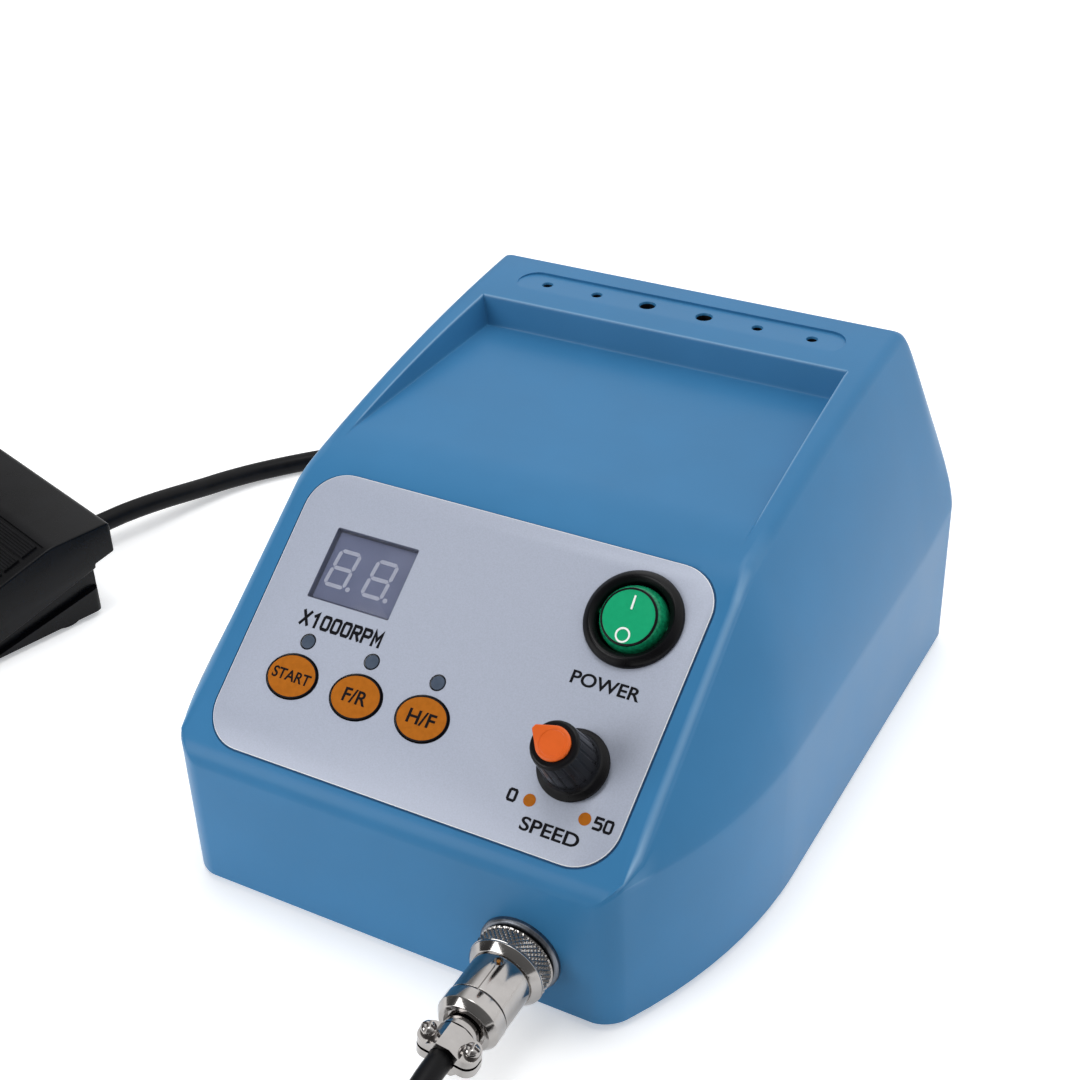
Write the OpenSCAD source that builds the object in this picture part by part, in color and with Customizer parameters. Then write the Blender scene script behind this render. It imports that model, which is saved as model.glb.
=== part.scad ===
// Bench micromotor set: control box, foot pedal and motor handpiece on its cord.
// Millimetres. X to the right, Y to the back, Z up from the bench, origin under the middle of the box.

/* [Housing] */
// Widest part of the box
body_w = 144.6; // [136:0.2:156]
// Front wall to rear wall
body_d = 173; // [165:1:185]
// Width of the front wall, corners included
nose_w = 110; // [104:1:116]
// Width at the rear wall
rear_w = 144; // [138:0.5:150]
// Width of the roof between the two side ridges
ridge_w = 115; // [110:0.5:118]
// Height of the front wall
front_h = 36.5; // [30:0.5:42]
// Height of the crease along the sides
crease_h = 38.5; // [30:0.5:44]
// Rise of the crease towards the rear corners
rear_rise = 4; // [0:0.5:6]
// Slope of the control panel, in degrees
slope = 34.5; // [30:0.5:38]
// Depth of the panel, measured level
panel_run = 63.8; // [60:0.2:68]
// Slope of the side rails where they leave the panel
rail_slope = 13.5; // [10:0.5:16]
// Radius of the long curve of the roof
top_r = 520; // [470:5:600]
// Distance from the front at which the sides stop flaring
flare_d = 62; // [50:1:80]
// Lean of the rear wall above the crease, in degrees
rear_lean = 12; // [8:0.5:16]
// Wall thickness
wall = 2.6; // [2:0.1:3.2]
// Radius of the upright front corners
nose_r = 7; // [4:0.5:10]
// Radius of the upright rear corners
tail_r = 5; // [4:0.5:10]
// Rounding of the side ridges
ridge_r = 4; // [2:0.25:6]
// Rounding of the panel's front edge
lip_r = 3; // [1.5:0.25:4]
// Swell of the upper side walls
side_swell = 1.2; // [0:0.1:2]

/* [Tray and bur ledge] */
// Where the tray floor leaves the roof, from the front
tray_start = 75; // [70:0.5:82]
// Foot of the tray's rear wall, from the front
tray_end = 136; // [128:0.5:138]
// Width of the tray floor at its rear wall
tray_w = 98.6; // [90:0.2:102]
// Width of the tray floor where it starts
tray_mouth_w = 106; // [96:0.5:108]
// Depth of the tray at its rear wall
tray_depth = 7.5; // [5:0.25:9]
// Draft of the tray walls, in degrees
tray_draft = 14; // [5:1:20]
// Row of bur holes, from the front
bur_y = 149; // [146.5:0.5:150.5]
// Spacing of the outer bur holes
bur_pitch = 14.8; // [12:0.1:16]
// Spacing of the two middle bur holes
bur_gap = 16.2; // [12:0.1:18]
// Diameter of the outer bur holes
bur_d = 2.5; // [2:0.05:3]
// Diameter of the two middle bur holes
bur_big_d = 4; // [3.2:0.05:4.6]
// Depth of the bur holes
bur_depth = 14; // [8:0.5:18]
// Length of the shallow oval round the holes
oval_l = 92.6; // [86:0.2:98]
// Width of the shallow oval
oval_w = 10.5; // [8:0.25:12]
// Depth of the shallow oval
oval_depth = 0.5; // [0.2:0.1:1]

/* [Panel] */
// Middle of the overlay, up the slope from the front edge
overlay_up = 40.2; // [38:0.1:41]
// Width of the overlay
overlay_w = 105.2; // [100:0.2:106]
// Middle of the overlay, across the panel
overlay_u = 0.4; // [-1:0.1:1]
// Height of the overlay
overlay_h = 70.9; // [68:0.1:72]
// Corner radius of the overlay
overlay_r = 10; // [6:0.5:14]
// Thickness of the overlay
overlay_t = 0.4; // [0.2:0.05:0.6]
// Display window, width
window_w = 22.5; // [20:0.25:24]
// Display window, height
window_h = 18.3; // [16:0.1:20]
// Display window, middle across the panel
window_u = -30; // [-33:0.5:-27]
// Display window, middle up the panel
window_v = 12.9; // [11:0.1:14]
// Thickness of the display window
window_t = 1.2; // [0.8:0.1:1.6]
// Keys, width
key_w = 12.6; // [10:0.1:14]
// Keys, height
key_h = 10.6; // [9:0.1:12]
// Keys, how far they stand out of the overlay
key_proud = 0.35; // [0.1:0.05:0.8]
// Middle key, across the panel
key_u = -18.2; // [-20:0.1:-16]
// Key spacing
key_pitch = 17.5; // [16.5:0.1:18.5]
// Keys, middle up the panel
key_v = -15.4; // [-17:0.1:-14]
// Key travel
key_travel = 0.4; // [0.2:0.05:0.6]
// Indicator lamp diameter
lamp_d = 3.3; // [2.6:0.1:3.6]
// Indicator lamps, middle up the panel
lamp_v = -6.5; // [-7.5:0.1:-6]
// Depth of the display board below the panel
board_n = 9; // [8.5:0.25:12]
// Circuit board thickness
board_t = 1.6; // [1:0.1:2]

/* [Power switch] */
// Switch, across the panel
switch_u = 37.2; // [35:0.1:38]
// Switch, up the panel
switch_v = 20.1; // [19:0.1:21]
// Bezel diameter
bezel_d = 23; // [21.5:0.1:24]
// Bezel height over the overlay
bezel_h = 2.2; // [1.5:0.1:3]
// Barrel diameter
barrel_d = 19.8; // [19:0.1:20.4]
// Barrel length below the panel
barrel_l = 16; // [13:0.5:18]
// Rocker diameter, through its pivot
rocker_d = 15.8; // [14.6:0.1:16.2]
// Diameter of the rocker's flat face
rocker_face_d = 12.8; // [11:0.1:13.4]
// Height of the rocker's pivot over the overlay
rocker_n = -1; // [-2:0.1:0]
// Rocker tilt either way, in degrees
rocker_tilt = 9; // [5:0.5:11]
// Rocker pivot diameter
rocker_pin_d = 2; // [1.6:0.1:2.4]

/* [Speed knob] */
// Knob, across the panel
knob_u = 37.2; // [35:0.1:39]
// Knob, up the panel
knob_v = -14.8; // [-16:0.1:-13]
// Skirt diameter
skirt_d = 16.4; // [15:0.1:18]
// Skirt thickness
skirt_t = 1.6; // [1.2:0.1:2.4]
// Knob diameter at its top
knob_d = 11; // [10:0.1:12]
// Knob diameter above the skirt
knob_root_d = 12.6; // [12.2:0.1:14]
// Knob height
knob_h = 14.5; // [12:0.25:18]
// Number of flutes
flutes = 18; // [12:1:24]
// Flute diameter
flute_d = 1.3; // [0.8:0.1:1.6]
// Pointer cap thickness
cap_t = 1.2; // [0.8:0.1:2]
// Pointer cap, diameter of its round end
cap_d = 8.4; // [7:0.1:9]
// Reach of the pointer's tip from the knob axis
pointer_l = 6.2; // [5.6:0.1:6.8]
// Pointer direction from the panel's right hand, in degrees
pointer_a = 157.6; // [90:0.1:235]
// Shaft diameter
shaft_d = 6; // [5:0.1:6.4]
// Potentiometer body diameter
pot_d = 16.5; // [15:0.1:18]
// Potentiometer body height
pot_h = 9; // [7:0.5:11]
// Threaded bushing diameter
bush_d = 7; // [6.8:0.1:7.6]
// Bushing length above the panel
bush_l = 3.4; // [3:0.1:3.6]

/* [Motor socket and plug] */
// Socket, from the middle of the front wall
socket_x = 34; // [30:0.5:38]
// Socket height over the housing's foot
socket_z = 13.5; // [12:0.5:18]
// Socket flange diameter
flange_d = 18.8; // [17.5:0.1:20]
// Socket flange thickness
flange_t = 1.5; // [1:0.1:2]
// Socket barrel diameter
socket_d = 15.6; // [15:0.1:16]
// Socket barrel length behind the flange
socket_l = 16; // [12:0.5:18]
// Threaded spigot diameter
spigot_d = 14.6; // [13.8:0.1:14.8]
// Threaded spigot length
spigot_l = 4.6; // [3.5:0.1:5.5]
// Coupling ring diameter
ring_d = 18.2; // [17.4:0.1:19]
// Coupling ring length
ring_l = 6.7; // [6.4:0.1:9]
// Plug barrel diameter
shell_d = 14.4; // [13.6:0.1:14.8]
// Plug barrel length behind the coupling ring
shell_l = 13.5; // [12:0.5:16]
// Cable clamp length
clamp_l = 6.5; // [5:0.5:9]
// Cable clamp width over its ears
clamp_w = 14.1; // [14.1:0.1:16]
// Turn of the plug in its socket, in degrees
plug_roll = -8; // [-30:1:30]
// Clamp screw diameter
clamp_screw_d = 2; // [1.6:0.1:2.2]

/* [Rear of the box] */
// Height of the rear sockets over the housing's foot
rear_z = 20; // [17:0.5:24]
// Mains inlet, across the rear wall
inlet_x = 38; // [34:0.5:42]
// Mains inlet flange, width
inlet_w = 31; // [30:0.5:33]
// Mains inlet flange, height
inlet_h = 24; // [22.5:0.5:26]
// Mains inlet depth inside the box
inlet_depth = 17; // [15:0.5:20]
// Fuse cap, across the rear wall
fuse_x = 4; // [0:0.5:8]
// Fuse cap diameter
fuse_d = 13; // [11:0.5:14]
// Fuse holder, length inside the box
fuse_l = 28; // [24:0.5:30]
// Pedal socket, across the rear wall
jack_x = -33; // [-36:0.5:-30]
// Pedal socket nut diameter
jack_d = 12; // [10:0.5:14]
// Pedal plug handle diameter
jack_plug_d = 11; // [9:0.5:13]
// Pedal plug pin diameter
jack_pin_d = 3.5; // [3:0.1:4]

/* [Base] */
// Rubber foot height
foot_h = 2; // [1.6:0.1:3]
// Rubber foot diameter
foot_d = 14; // [10:0.5:18]
// Base plate thickness
plate_t = 2.5; // [2.2:0.1:3]
// Base plate, how far it sits inside the housing's foot
plate_in = 0.3; // [0.1:0.1:1]
// Base screw diameter
base_screw_d = 3; // [2.5:0.1:3.4]
// Screw boss diameter
boss_d = 8; // [7:0.25:9]
// Screw boss height over the plate
boss_h = 18; // [12:0.5:22]

/* [Pedal] */
// Pedal corner, from the middle of the box to the right
pedal_x = -146; // [-160:1:-140]
// Pedal corner, from the middle of the box to the back
pedal_y = -5; // [-20:0.5:5]
// Turn of the pedal, in degrees
pedal_turn = -18; // [-30:1:0]
// Treadle width
pedal_w = 80; // [72:1:100]
// Treadle length
pedal_l = 81; // [78:0.5:86]
// Height of the treadle's level part
pedal_h = 28.8; // [27:0.2:32]
// Length of the level part
pedal_level = 19; // [15:0.5:24]
// Slope of the tread, in degrees
pedal_slope = 16; // [14:0.5:17]
// Travel of the treadle, in degrees
press = 5; // [4:0.5:5.5]
// Treadle wall
tread_t = 1.6; // [1.4:0.1:2]
// Skirt height at the rear
skirt_h = 10; // [7:0.2:10.4]
// Depth of the tread below the top over the sides
side_h = 16.4; // [14:0.2:17]
// Overhang of the treadle behind the base
overhang = 6.5; // [6:0.5:8]
// Rubber feet of the pedal, height
pedal_foot_h = 1.7; // [1.2:0.1:3]
// Rubber feet of the pedal, diameter
pedal_foot_d = 12; // [9:0.5:14]
// Hinge pin, from the rear edge
hinge_y = 72; // [70:0.5:74]
// Hinge pin height
hinge_z = 6.6; // [6.4:0.1:6.8]
// Hinge pin diameter
hinge_d = 3.6; // [3:0.1:4]
// Hinge eye diameter
eye_d = 6; // [5.6:0.1:6.2]
// Spacing of the grip bars across the tread
bar_pitch = 5.9; // [4:0.1:8]
// Gap between two grip bars
bar_gap = 0.9; // [0.5:0.1:1.5]
// Depth of the recess that holds the grip bars
grip_depth = 0.6; // [0.4:0.1:0.8]
// Spring diameter
spring_d = 12; // [10:0.5:14]
// Spring wire diameter
spring_wire = 1.2; // [0.8:0.1:1.6]

/* [Handpiece] */
// Body diameter
hand_d = 27; // [25:0.5:30]
// Body sleeve length
sleeve_l = 58; // [50:1:70]
// Sleeve wall
sleeve_t = 1.6; // [1.2:0.1:2]
// Chuck ring length
chuck_l = 20; // [16:0.5:24]
// Nose length
nose_l = 38; // [34:1:44]
// Nose tip diameter
tip_d = 12; // [11:0.5:14]
// Rear cap length
rear_cap_l = 12; // [8:0.5:16]
// Cord boot length
boot_l = 24; // [18:1:30]
// Motor shaft diameter
spindle_d = 5; // [4.4:0.1:5.6]
// Armature diameter
armature_d = 14; // [12:0.5:15]
// Collet bore, for the shank of a bur
collet_d = 2.36; // [2.35:0.01:2.4]
// Collet bore depth
collet_l = 22; // [16:1:26]

/* [Cords] */
// Motor cord diameter
motor_cord_d = 5.5; // [4.6:0.1:5.6]
// Pedal cord diameter
pedal_cord_d = 6; // [5.4:0.1:6.2]
// Turns in each layer of a coil
coil_turns = 3; // [2:1:4]
// Tie width
tie_w = 9; // [6:0.5:12]
// Tie thickness
tie_t = 0.8; // [0.6:0.1:1]

/* [Fits] */
// Gap between fixed pieces
gap = 0.25; // [0.15:0.05:0.35]
// Radial gap of a turning pin or shaft
running = 0.05; // [0.02:0.01:0.1]
// Gap round pieces that move
free = 0.5; // [0.35:0.05:0.7]

/* [Hidden] */
$fn = 64;

// Colours
blue = "#4a80b4";
silver = "#b4b8c4";
black = "#1c1c20";
orange = "#c4701c";
chrome = "#d0d2d6";

// Housing lines: y from the front wall, z from the housing's foot
body_half = body_w / 2;
nose_half = nose_w / 2;
rear_half = rear_w / 2;
ridge_half = ridge_w / 2;
flare_r = (flare_d * flare_d + pow(body_half - nose_half, 2)) / (2 * (body_half - nose_half));
bend_z = front_h + panel_run * tan(slope);
arc_y = panel_run + top_r * sin(rail_slope);
arc_z = bend_z - top_r * cos(rail_slope);
bend_blend = 3;
rear_blend = 9;
rear_reach = 25;
bulge_stops = [0.2, 0.5, 0.8];
ridge_steps = 4;

function soft_min(a, b, k) = min(a, b) - pow(max(k - abs(a - b), 0), 2) / (4 * k);
function corner(y, r) = y < r ? r - sqrt(r * r - pow(r - y, 2)) : 0;
function plan_side(y) = y < flare_d
    ? body_half - flare_r + sqrt(flare_r * flare_r - pow(flare_d - y, 2))
    : body_half + (rear_half - body_half) * (y - flare_d) / (body_d - flare_d);
function plan_half(y) = plan_side(y) - corner(y, nose_r) - corner(body_d - y, tail_r);
function panel_line(y) = front_h + y * tan(slope);
function rail_line(y) = arc_z + sqrt(top_r * top_r - pow(y - arc_y, 2));
function crown(y) = soft_min(panel_line(y), rail_line(y), bend_blend);
function crease(y) = crease_h + rear_rise * max(0, 1 - (body_d - y) / rear_reach);
function rear_line(y) = crease_h + rear_rise + (body_d - y) / tan(rear_lean);
function roof(y) = soft_min(crown(y), rear_line(y), rear_blend) - corner(y, lip_r);
tray_floor_z = rail_line(tray_end) - tray_depth;
tray_mouth_z = crown(tray_start);
function tray_floor(y) = tray_mouth_z
    + (tray_floor_z - tray_mouth_z) * (y - tray_start) / (tray_end - tray_start);

// Inner roof: the outer one drawn in by the wall, and under the tray all the way back
function inner_roof(y) = min(concat(
    [for (t = [-75:15:75]) roof(min(max(y + wall * sin(t), 0), body_d)) - wall * cos(t)],
    [y > tray_start - wall ? tray_floor(min(y, tray_end)) - wall : roof(y)]
));

// Half of a cross-section, from its foot to the ridge, as [x, z] points
function half_section(y, inset, foot, top) =
    let (
        half = plan_half(y) - inset,
        full = crown(y) - inset,
        knee = min(crease(y), top - 1),
        ridge = min(ridge_half - inset, half - 0.6),
        share = min((top - knee) / max(full - knee, 1), 1),
        tip = [half + (ridge - half) * share, top],
        root = [half, knee],
        reach = min(ridge_r, 0.45 * norm(tip - root)),
        a = tip + (root - tip) * reach / norm(tip - root),
        b = tip - [reach, 0],
        swell = side_swell * (top - knee) / (bend_z - crease_h)
    )
    concat(
        [[half, foot], root],
        [for (s = bulge_stops) root + (a - root) * s + [swell * 4 * s * (1 - s), 0]],
        [for (i = [0:ridge_steps])
            let (t = i / ridge_steps)
            a * pow(1 - t, 2) + tip * 2 * t * (1 - t) + b * t * t]
    );
function ring_at(y, half) = concat(
    [for (p = half) [p[0], y, p[1]]],
    [for (i = [len(half) - 1:-1:0]) [-half[i][0], y, half[i][1]]]
);

// Stations along the box: close together where the outline bends
rear_from = body_d - (bend_z - crease_h) * tan(rear_lean) - 12;
outer_y = concat(
    [for (i = [0:5]) nose_r * (1 - cos(i * 18))],
    [for (i = [1:6]) nose_r + (panel_run - 10 - nose_r) * i / 6],
    [for (i = [1:6]) panel_run - 10 + 20 * i / 6],
    [for (i = [1:5]) panel_run + 10 + (rear_from - panel_run - 10) * i / 5],
    [for (i = [1:10]) rear_from + (body_d - tail_r - rear_from) * i / 10],
    [for (i = [1:4]) body_d - tail_r + tail_r * sin(i * 22.5)]
);
inner_y = concat(
    [for (i = [0:3]) wall + (nose_r - wall) * i / 3],
    [for (i = [1:5]) nose_r + (tray_start - wall - nose_r) * i / 5],
    [for (i = [1:4]) tray_start - wall + (rear_from - tray_start + wall) * i / 4],
    [for (i = [1:6]) rear_from + (body_d - wall - rear_from) * i / 6]
);

// Skin over a list of rings that all have the same number of points
function skin_faces(rings, n) = concat(
    [[for (j = [n - 1:-1:0]) j]],
    [for (i = [0:rings - 2]) for (j = [0:n - 1])
        [i * n + j, i * n + (j + 1) % n, (i + 1) * n + (j + 1) % n]],
    [for (i = [0:rings - 2]) for (j = [0:n - 1]) [i * n + j, (i + 1) * n + (j + 1) % n, (i + 1) * n + j]],
    [[for (j = [0:n - 1]) (rings - 1) * n + j]]
);
module skin(rings) {
    n = len(rings[0]);
    polyhedron([for (r = rings) each r], skin_faces(len(rings), n), convexity = 6);
}
function plan_outline(inset, stations) = concat(
    [for (y = stations) [plan_half(y) - inset, y]],
    [for (i = [len(stations) - 1:-1:0]) [inset - plan_half(stations[i]), stations[i]]]
);

// Places
module box_frame() {
    translate([0, -body_d / 2, foot_h]) children();
}
module panel_frame(u = 0, v = 0, n = 0) {
    box_frame()
        translate([0, overlay_up * cos(slope), front_h + overlay_up * sin(slope)])
            rotate([slope, 0, 0])
                translate([u, v, n]) children();
}
module plug_frame() {
    box_frame()
        translate([socket_x, 0, socket_z])
            rotate([90, 0, 0]) children();
}
module rear_frame(x) {
    box_frame()
        translate([x, body_d, rear_z])
            rotate([-90, 0, 0]) children();
}
module pedal_frame() {
    translate([pedal_x, pedal_y, 0])
        rotate([0, 0, pedal_turn]) children();
}

// Shapes used more than once
module disc(d, from, to) {
    translate([0, 0, from]) cylinder(d = d, h = to - from);
}
module tube(outer, inner, from, to) {
    difference() {
        disc(outer, from, to);
        disc(inner, from - 1, to + 1);
    }
}
module slab(x0, x1, y0, y1, z0, z1) {
    translate([x0, y0, z0]) cube([x1 - x0, y1 - y0, z1 - z0]);
}
module plate_2d(w, h, r) {
    for (x = [-1, 1]) for (y = [-1, 1])
        translate([x * (w / 2 - r), y * (h / 2 - r)]) circle(r);
    square([w, h - 2 * r], center = true);
    square([w - 2 * r, h], center = true);
}
function oval(w, h) = [for (i = [0:47]) [w / 2 * cos(i * 7.5), h / 2 * sin(i * 7.5)]];
module screw(d, l, head_d, head_h) {
    disc(d, -l, 0.01);
    disc(head_d, 0, head_h);
}

// Where things repeat
bur_x = [for (s = [-1, 1]) for (i = [0:2]) s * (bur_gap / 2 + i * bur_pitch)];
function bur_hole_d(x) = abs(x) < bur_gap ? bur_big_d : bur_d;
key_list = [key_u - key_pitch, key_u, key_u + key_pitch];
boss_front_y = 20;
boss_rear_in = 23;
boss_room = 0.9;
head_d = base_screw_d * 1.9;
boss_in = wall + head_d / 2 + gap + boss_room;
boss_spots = [for (y = [boss_front_y, body_d - boss_rear_in]) for (s = [-1, 1])
    [s * (plan_half(y) - boss_in), y]];
foot_out = 46;
foot_front_y = 36;
foot_rear_in = 40;
foot_spots = [for (y = [foot_front_y, body_d - foot_rear_in]) for (s = [-1, 1]) [s * foot_out, y]];
board_w = 62;
board_h = 54;
board_u = -19;
board_v = 1;
board_boss_d = 6;
board_screw_d = 2.5;
board_spots = [for (u = [-1, 1]) for (v = [-1, 1])
    [board_u + u * (board_w / 2 - 3.5), board_v + v * (board_h / 2 - 3.5)]];
floor_z = plate_in + plate_t;
core_w = 57;
core_t = 26;
core_h = 47.5;
leg_w = 19;
yoke = leg_w / 2;
core_x = -26;
coil_t = core_t + 2 * yoke;
core_y = body_d - fuse_l - coil_t / 2 - free;
main_w = 70;
main_x = -22;
main_room = 8.5;
main_front = boss_front_y + boss_d / 2 + 1;
main_d = core_y - coil_t / 2 - main_room - main_front;
main_y = main_front + main_d / 2;
post_h = 5;
main_spots = [for (x = [-1, 1]) for (y = [-1, 1])
    [main_x + x * (main_w / 2 - 4), main_y + y * (main_d / 2 - 4)]];

// Control box: moulded housing
key_hole_w = key_w + 2 * gap;
key_hole_h = key_h + 2 * gap;
panel_cut = wall + 6;
module tray_space() {
    up = 30;
    side = up * tan(tray_draft);
    f = [tray_mouth_w / 2, tray_w / 2];
    y = [tray_start, tray_end];
    z = [tray_mouth_z, tray_floor_z];
    polyhedron(
        [
            [-f[0], y[0], z[0]], [f[0], y[0], z[0]], [f[1], y[1], z[1]], [-f[1], y[1], z[1]],
            [-f[0] - side, y[0] - side, z[0] + up], [f[0] + side, y[0] - side, z[0] + up],
            [f[1] + side, y[1] + side, z[1] + up], [-f[1] - side, y[1] + side, z[1] + up]
        ],
        [
            [0, 1, 2], [0, 2, 3], [4, 6, 5], [4, 7, 6], [0, 5, 1], [0, 4, 5],
            [1, 6, 2], [1, 5, 6], [2, 7, 3], [2, 6, 7], [3, 4, 0], [3, 7, 4]
        ]
    );
}
ledge_z = rail_line(bur_y);
bur_boss_d = bur_big_d + 4;
module ledge_space() {
    slab(-tray_w / 2 + 4, tray_w / 2 - 4, tray_end + 5.5, rear_from + 5,
        tray_floor_z - wall - 1, ledge_z - wall - 0.6);
}
module bur_posts() {
    for (x = bur_x)
        translate([x, bur_y, ledge_z - bur_depth - 2]) cylinder(d = bur_boss_d, h = bur_depth);
}
module housing_shell() {
    difference() {
        skin([for (y = outer_y) ring_at(y, half_section(y, 0, 0, roof(y)))]);
        skin([for (y = inner_y) ring_at(y, half_section(y, wall, -1, inner_roof(y)))]);
        ledge_space();
    }
}
module housing() {
    color(blue) difference() {
        union() {
            box_frame() {
                housing_shell();
                bur_posts();
                for (p = boss_spots) {
                    translate([p[0], p[1], floor_z + gap]) cylinder(d = boss_d, h = boss_h);
                    translate([p[0], p[1], floor_z + gap + boss_h / 2])
                        cube([2 * (boss_in - wall / 2), boss_d * 0.4, boss_h], center = true);
                }
            }
            for (p = board_spots)
                panel_frame(p[0], p[1]) disc(board_boss_d, -board_n + gap, -wall / 2);
        }
        box_frame() {
            tray_space();
            translate([0, bur_y, ledge_z - oval_depth])
                linear_extrude(10) plate_2d(oval_l, oval_w, oval_w / 2 - 0.01);
            for (x = bur_x)
                translate([x, bur_y, ledge_z - bur_depth]) cylinder(d = bur_hole_d(x), h = bur_depth + 5);
            for (p = boss_spots)
                translate([p[0], p[1], floor_z - 1])
                    cylinder(d = base_screw_d + 2 * running, h = boss_h - 2);
        }
        for (p = board_spots)
            panel_frame(p[0], p[1]) disc(board_screw_d + 2 * running, -board_n - 1, -wall);
        panel_frame(window_u, window_v)
            slab(-window_w / 2, window_w / 2, -window_h / 2, window_h / 2, -panel_cut, 5);
        for (u = key_list)
            panel_frame(u, key_v, -panel_cut)
                linear_extrude(panel_cut + 5) polygon(oval(key_hole_w, key_hole_h));
        for (u = key_list)
            panel_frame(u, lamp_v) disc(lamp_d + 2 * gap, -panel_cut, 5);
        panel_frame(switch_u, switch_v) disc(barrel_d + 2 * gap, -panel_cut - 3, 5);
        panel_frame(knob_u, knob_v) disc(bush_d + 2 * gap, -panel_cut, 5);
        plug_frame() disc(socket_d + 2 * gap, -wall - 3, 5);
        rear_frame(inlet_x) slab(-13.8, 13.8, -10.2, 10.2, -wall - 3, 5);
        rear_frame(fuse_x) disc(fuse_d - 2 + 2 * gap, -wall - 3, 5);
        rear_frame(jack_x) disc(jack_d - 4 + 2 * gap, -wall - 3, 5);
    }
}

// Control box: base
plate_y = [for (i = [0:5]) wall + gap + (nose_r - wall - gap) * i / 5];
plate_stations = concat(
    plate_y,
    [for (i = [1:7]) nose_r + (flare_d - nose_r) * i / 7],
    [body_d - tail_r],
    [for (i = [1:4]) body_d - tail_r + (tail_r - wall - gap) * i / 4]
);
head_h = plate_t * 0.6;
module base_plate() {
    color("#3a3a3e") box_frame() difference() {
        union() {
            translate([0, 0, plate_in])
                linear_extrude(plate_t) polygon(plan_outline(wall + gap, plate_stations));
            for (p = main_spots)
                translate([p[0], p[1], plate_in]) cylinder(d = board_boss_d, h = plate_t + post_h);
        }
        for (p = boss_spots) translate([p[0], p[1], 0]) {
            disc(base_screw_d + 2 * gap, -1, 10);
            disc(head_d + 2 * gap, -1, plate_in + head_h);
        }
        for (p = foot_spots) translate([p[0], p[1], 0]) disc(foot_d / 3 + 2 * gap, -1, 10);
        for (p = main_spots)
            translate([p[0], p[1], 0]) disc(board_screw_d + 2 * running, plate_in + 1, 20);
    }
}
module base_screws() {
    color("silver") box_frame() for (p = boss_spots)
        translate([p[0], p[1], plate_in + head_h])
            rotate([180, 0, 0]) screw(base_screw_d, boss_h * 0.7, head_d, head_h - 0.05);
}
module rubber_feet() {
    color(black) box_frame() for (p = foot_spots) translate([p[0], p[1], 0]) {
        disc(foot_d, -foot_h, plate_in);
        disc(foot_d / 3, -foot_h + 0.5, plate_in + plate_t);
    }
}

// Panel: overlay, display and keys
module panel_overlay() {
    color(silver) panel_frame() difference() {
        translate([overlay_u, 0, 0]) linear_extrude(overlay_t) plate_2d(overlay_w, overlay_h, overlay_r);
        slab(window_u - window_w / 2, window_u + window_w / 2,
            window_v - window_h / 2, window_v + window_h / 2, -1, 2);
        for (u = key_list) {
            translate([u, key_v, -1]) linear_extrude(3) polygon(oval(key_hole_w, key_hole_h));
            translate([u, lamp_v]) disc(lamp_d + 2 * gap, -1, 2);
        }
        translate([switch_u, switch_v]) disc(barrel_d + 2 * gap, -1, 2);
        translate([knob_u, knob_v]) disc(bush_d + 2 * gap, -1, 2);
    }
}
window_n = -0.2;
digit_n = window_n - window_t - gap;
module display_window() {
    color([0.5, 0.55, 0.65, 0.6]) panel_frame(window_u, window_v)
        slab(gap / 2 - window_w / 2, window_w / 2 - gap / 2, gap / 2 - window_h / 2, window_h / 2 - gap / 2,
            window_n - window_t, window_n);
}
module led_display() {
    inset = 0.6;
    color("#70748a") panel_frame(window_u, window_v) {
        slab(inset - window_w / 2, window_w / 2 - inset, inset - window_h / 2, window_h / 2 - inset,
            -board_n, digit_n);
    }
}
key_flange = 1;
key_foot_n = -wall - 2.3;
switch_gap = key_travel + 0.2;
module key_at(u) {
    panel_frame(u, key_v) {
        translate([0, 0, -wall - 1])
            linear_extrude(wall + 1 + overlay_t + key_proud) polygon(oval(key_w, key_h));
        translate([0, 0, key_foot_n])
            linear_extrude(1.3) polygon(oval(key_w + 2 * key_flange, key_h + 2 * key_flange));
    }
}
module start_key() {
    color(orange) key_at(key_list[0]);
}
module direction_key() {
    color(orange) key_at(key_list[1]);
}
module hand_foot_key() {
    color(orange) key_at(key_list[2]);
}
module key_switches() {
    color("#2a2a30") for (u = key_list) panel_frame(u, key_v) {
        slab(-3, 3, -3, 3, -board_n, -board_n + 2.6);
        disc(3.2, -board_n, key_foot_n - switch_gap);
    }
}
module indicator_lamps() {
    color("#687080") for (u = key_list) panel_frame(u, lamp_v) {
        disc(lamp_d, -board_n + 1, overlay_t - 0.1);
        disc(lamp_d + 0.8, -board_n, -board_n + 1.2);
    }
}
module display_board() {
    color("#2c5a34") panel_frame(board_u, board_v) difference() {
        slab(-board_w / 2, board_w / 2, -board_h / 2, board_h / 2, -board_n - board_t, -board_n);
        for (p = board_spots)
            translate([p[0] - board_u, p[1] - board_v]) disc(board_screw_d + 2 * gap, -20, 0);
    }
}
module board_screws() {
    color("silver") {
        for (p = board_spots) panel_frame(p[0], p[1], -board_n - board_t)
            rotate([180, 0, 0]) screw(board_screw_d, board_t + 4, board_screw_d * 1.9, 1.6);
        for (p = main_spots) box_frame()
            translate([p[0], p[1], floor_z + post_h + board_t])
                screw(board_screw_d, board_t + 4, board_screw_d * 1.9, 1.6);
    }
}

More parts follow.
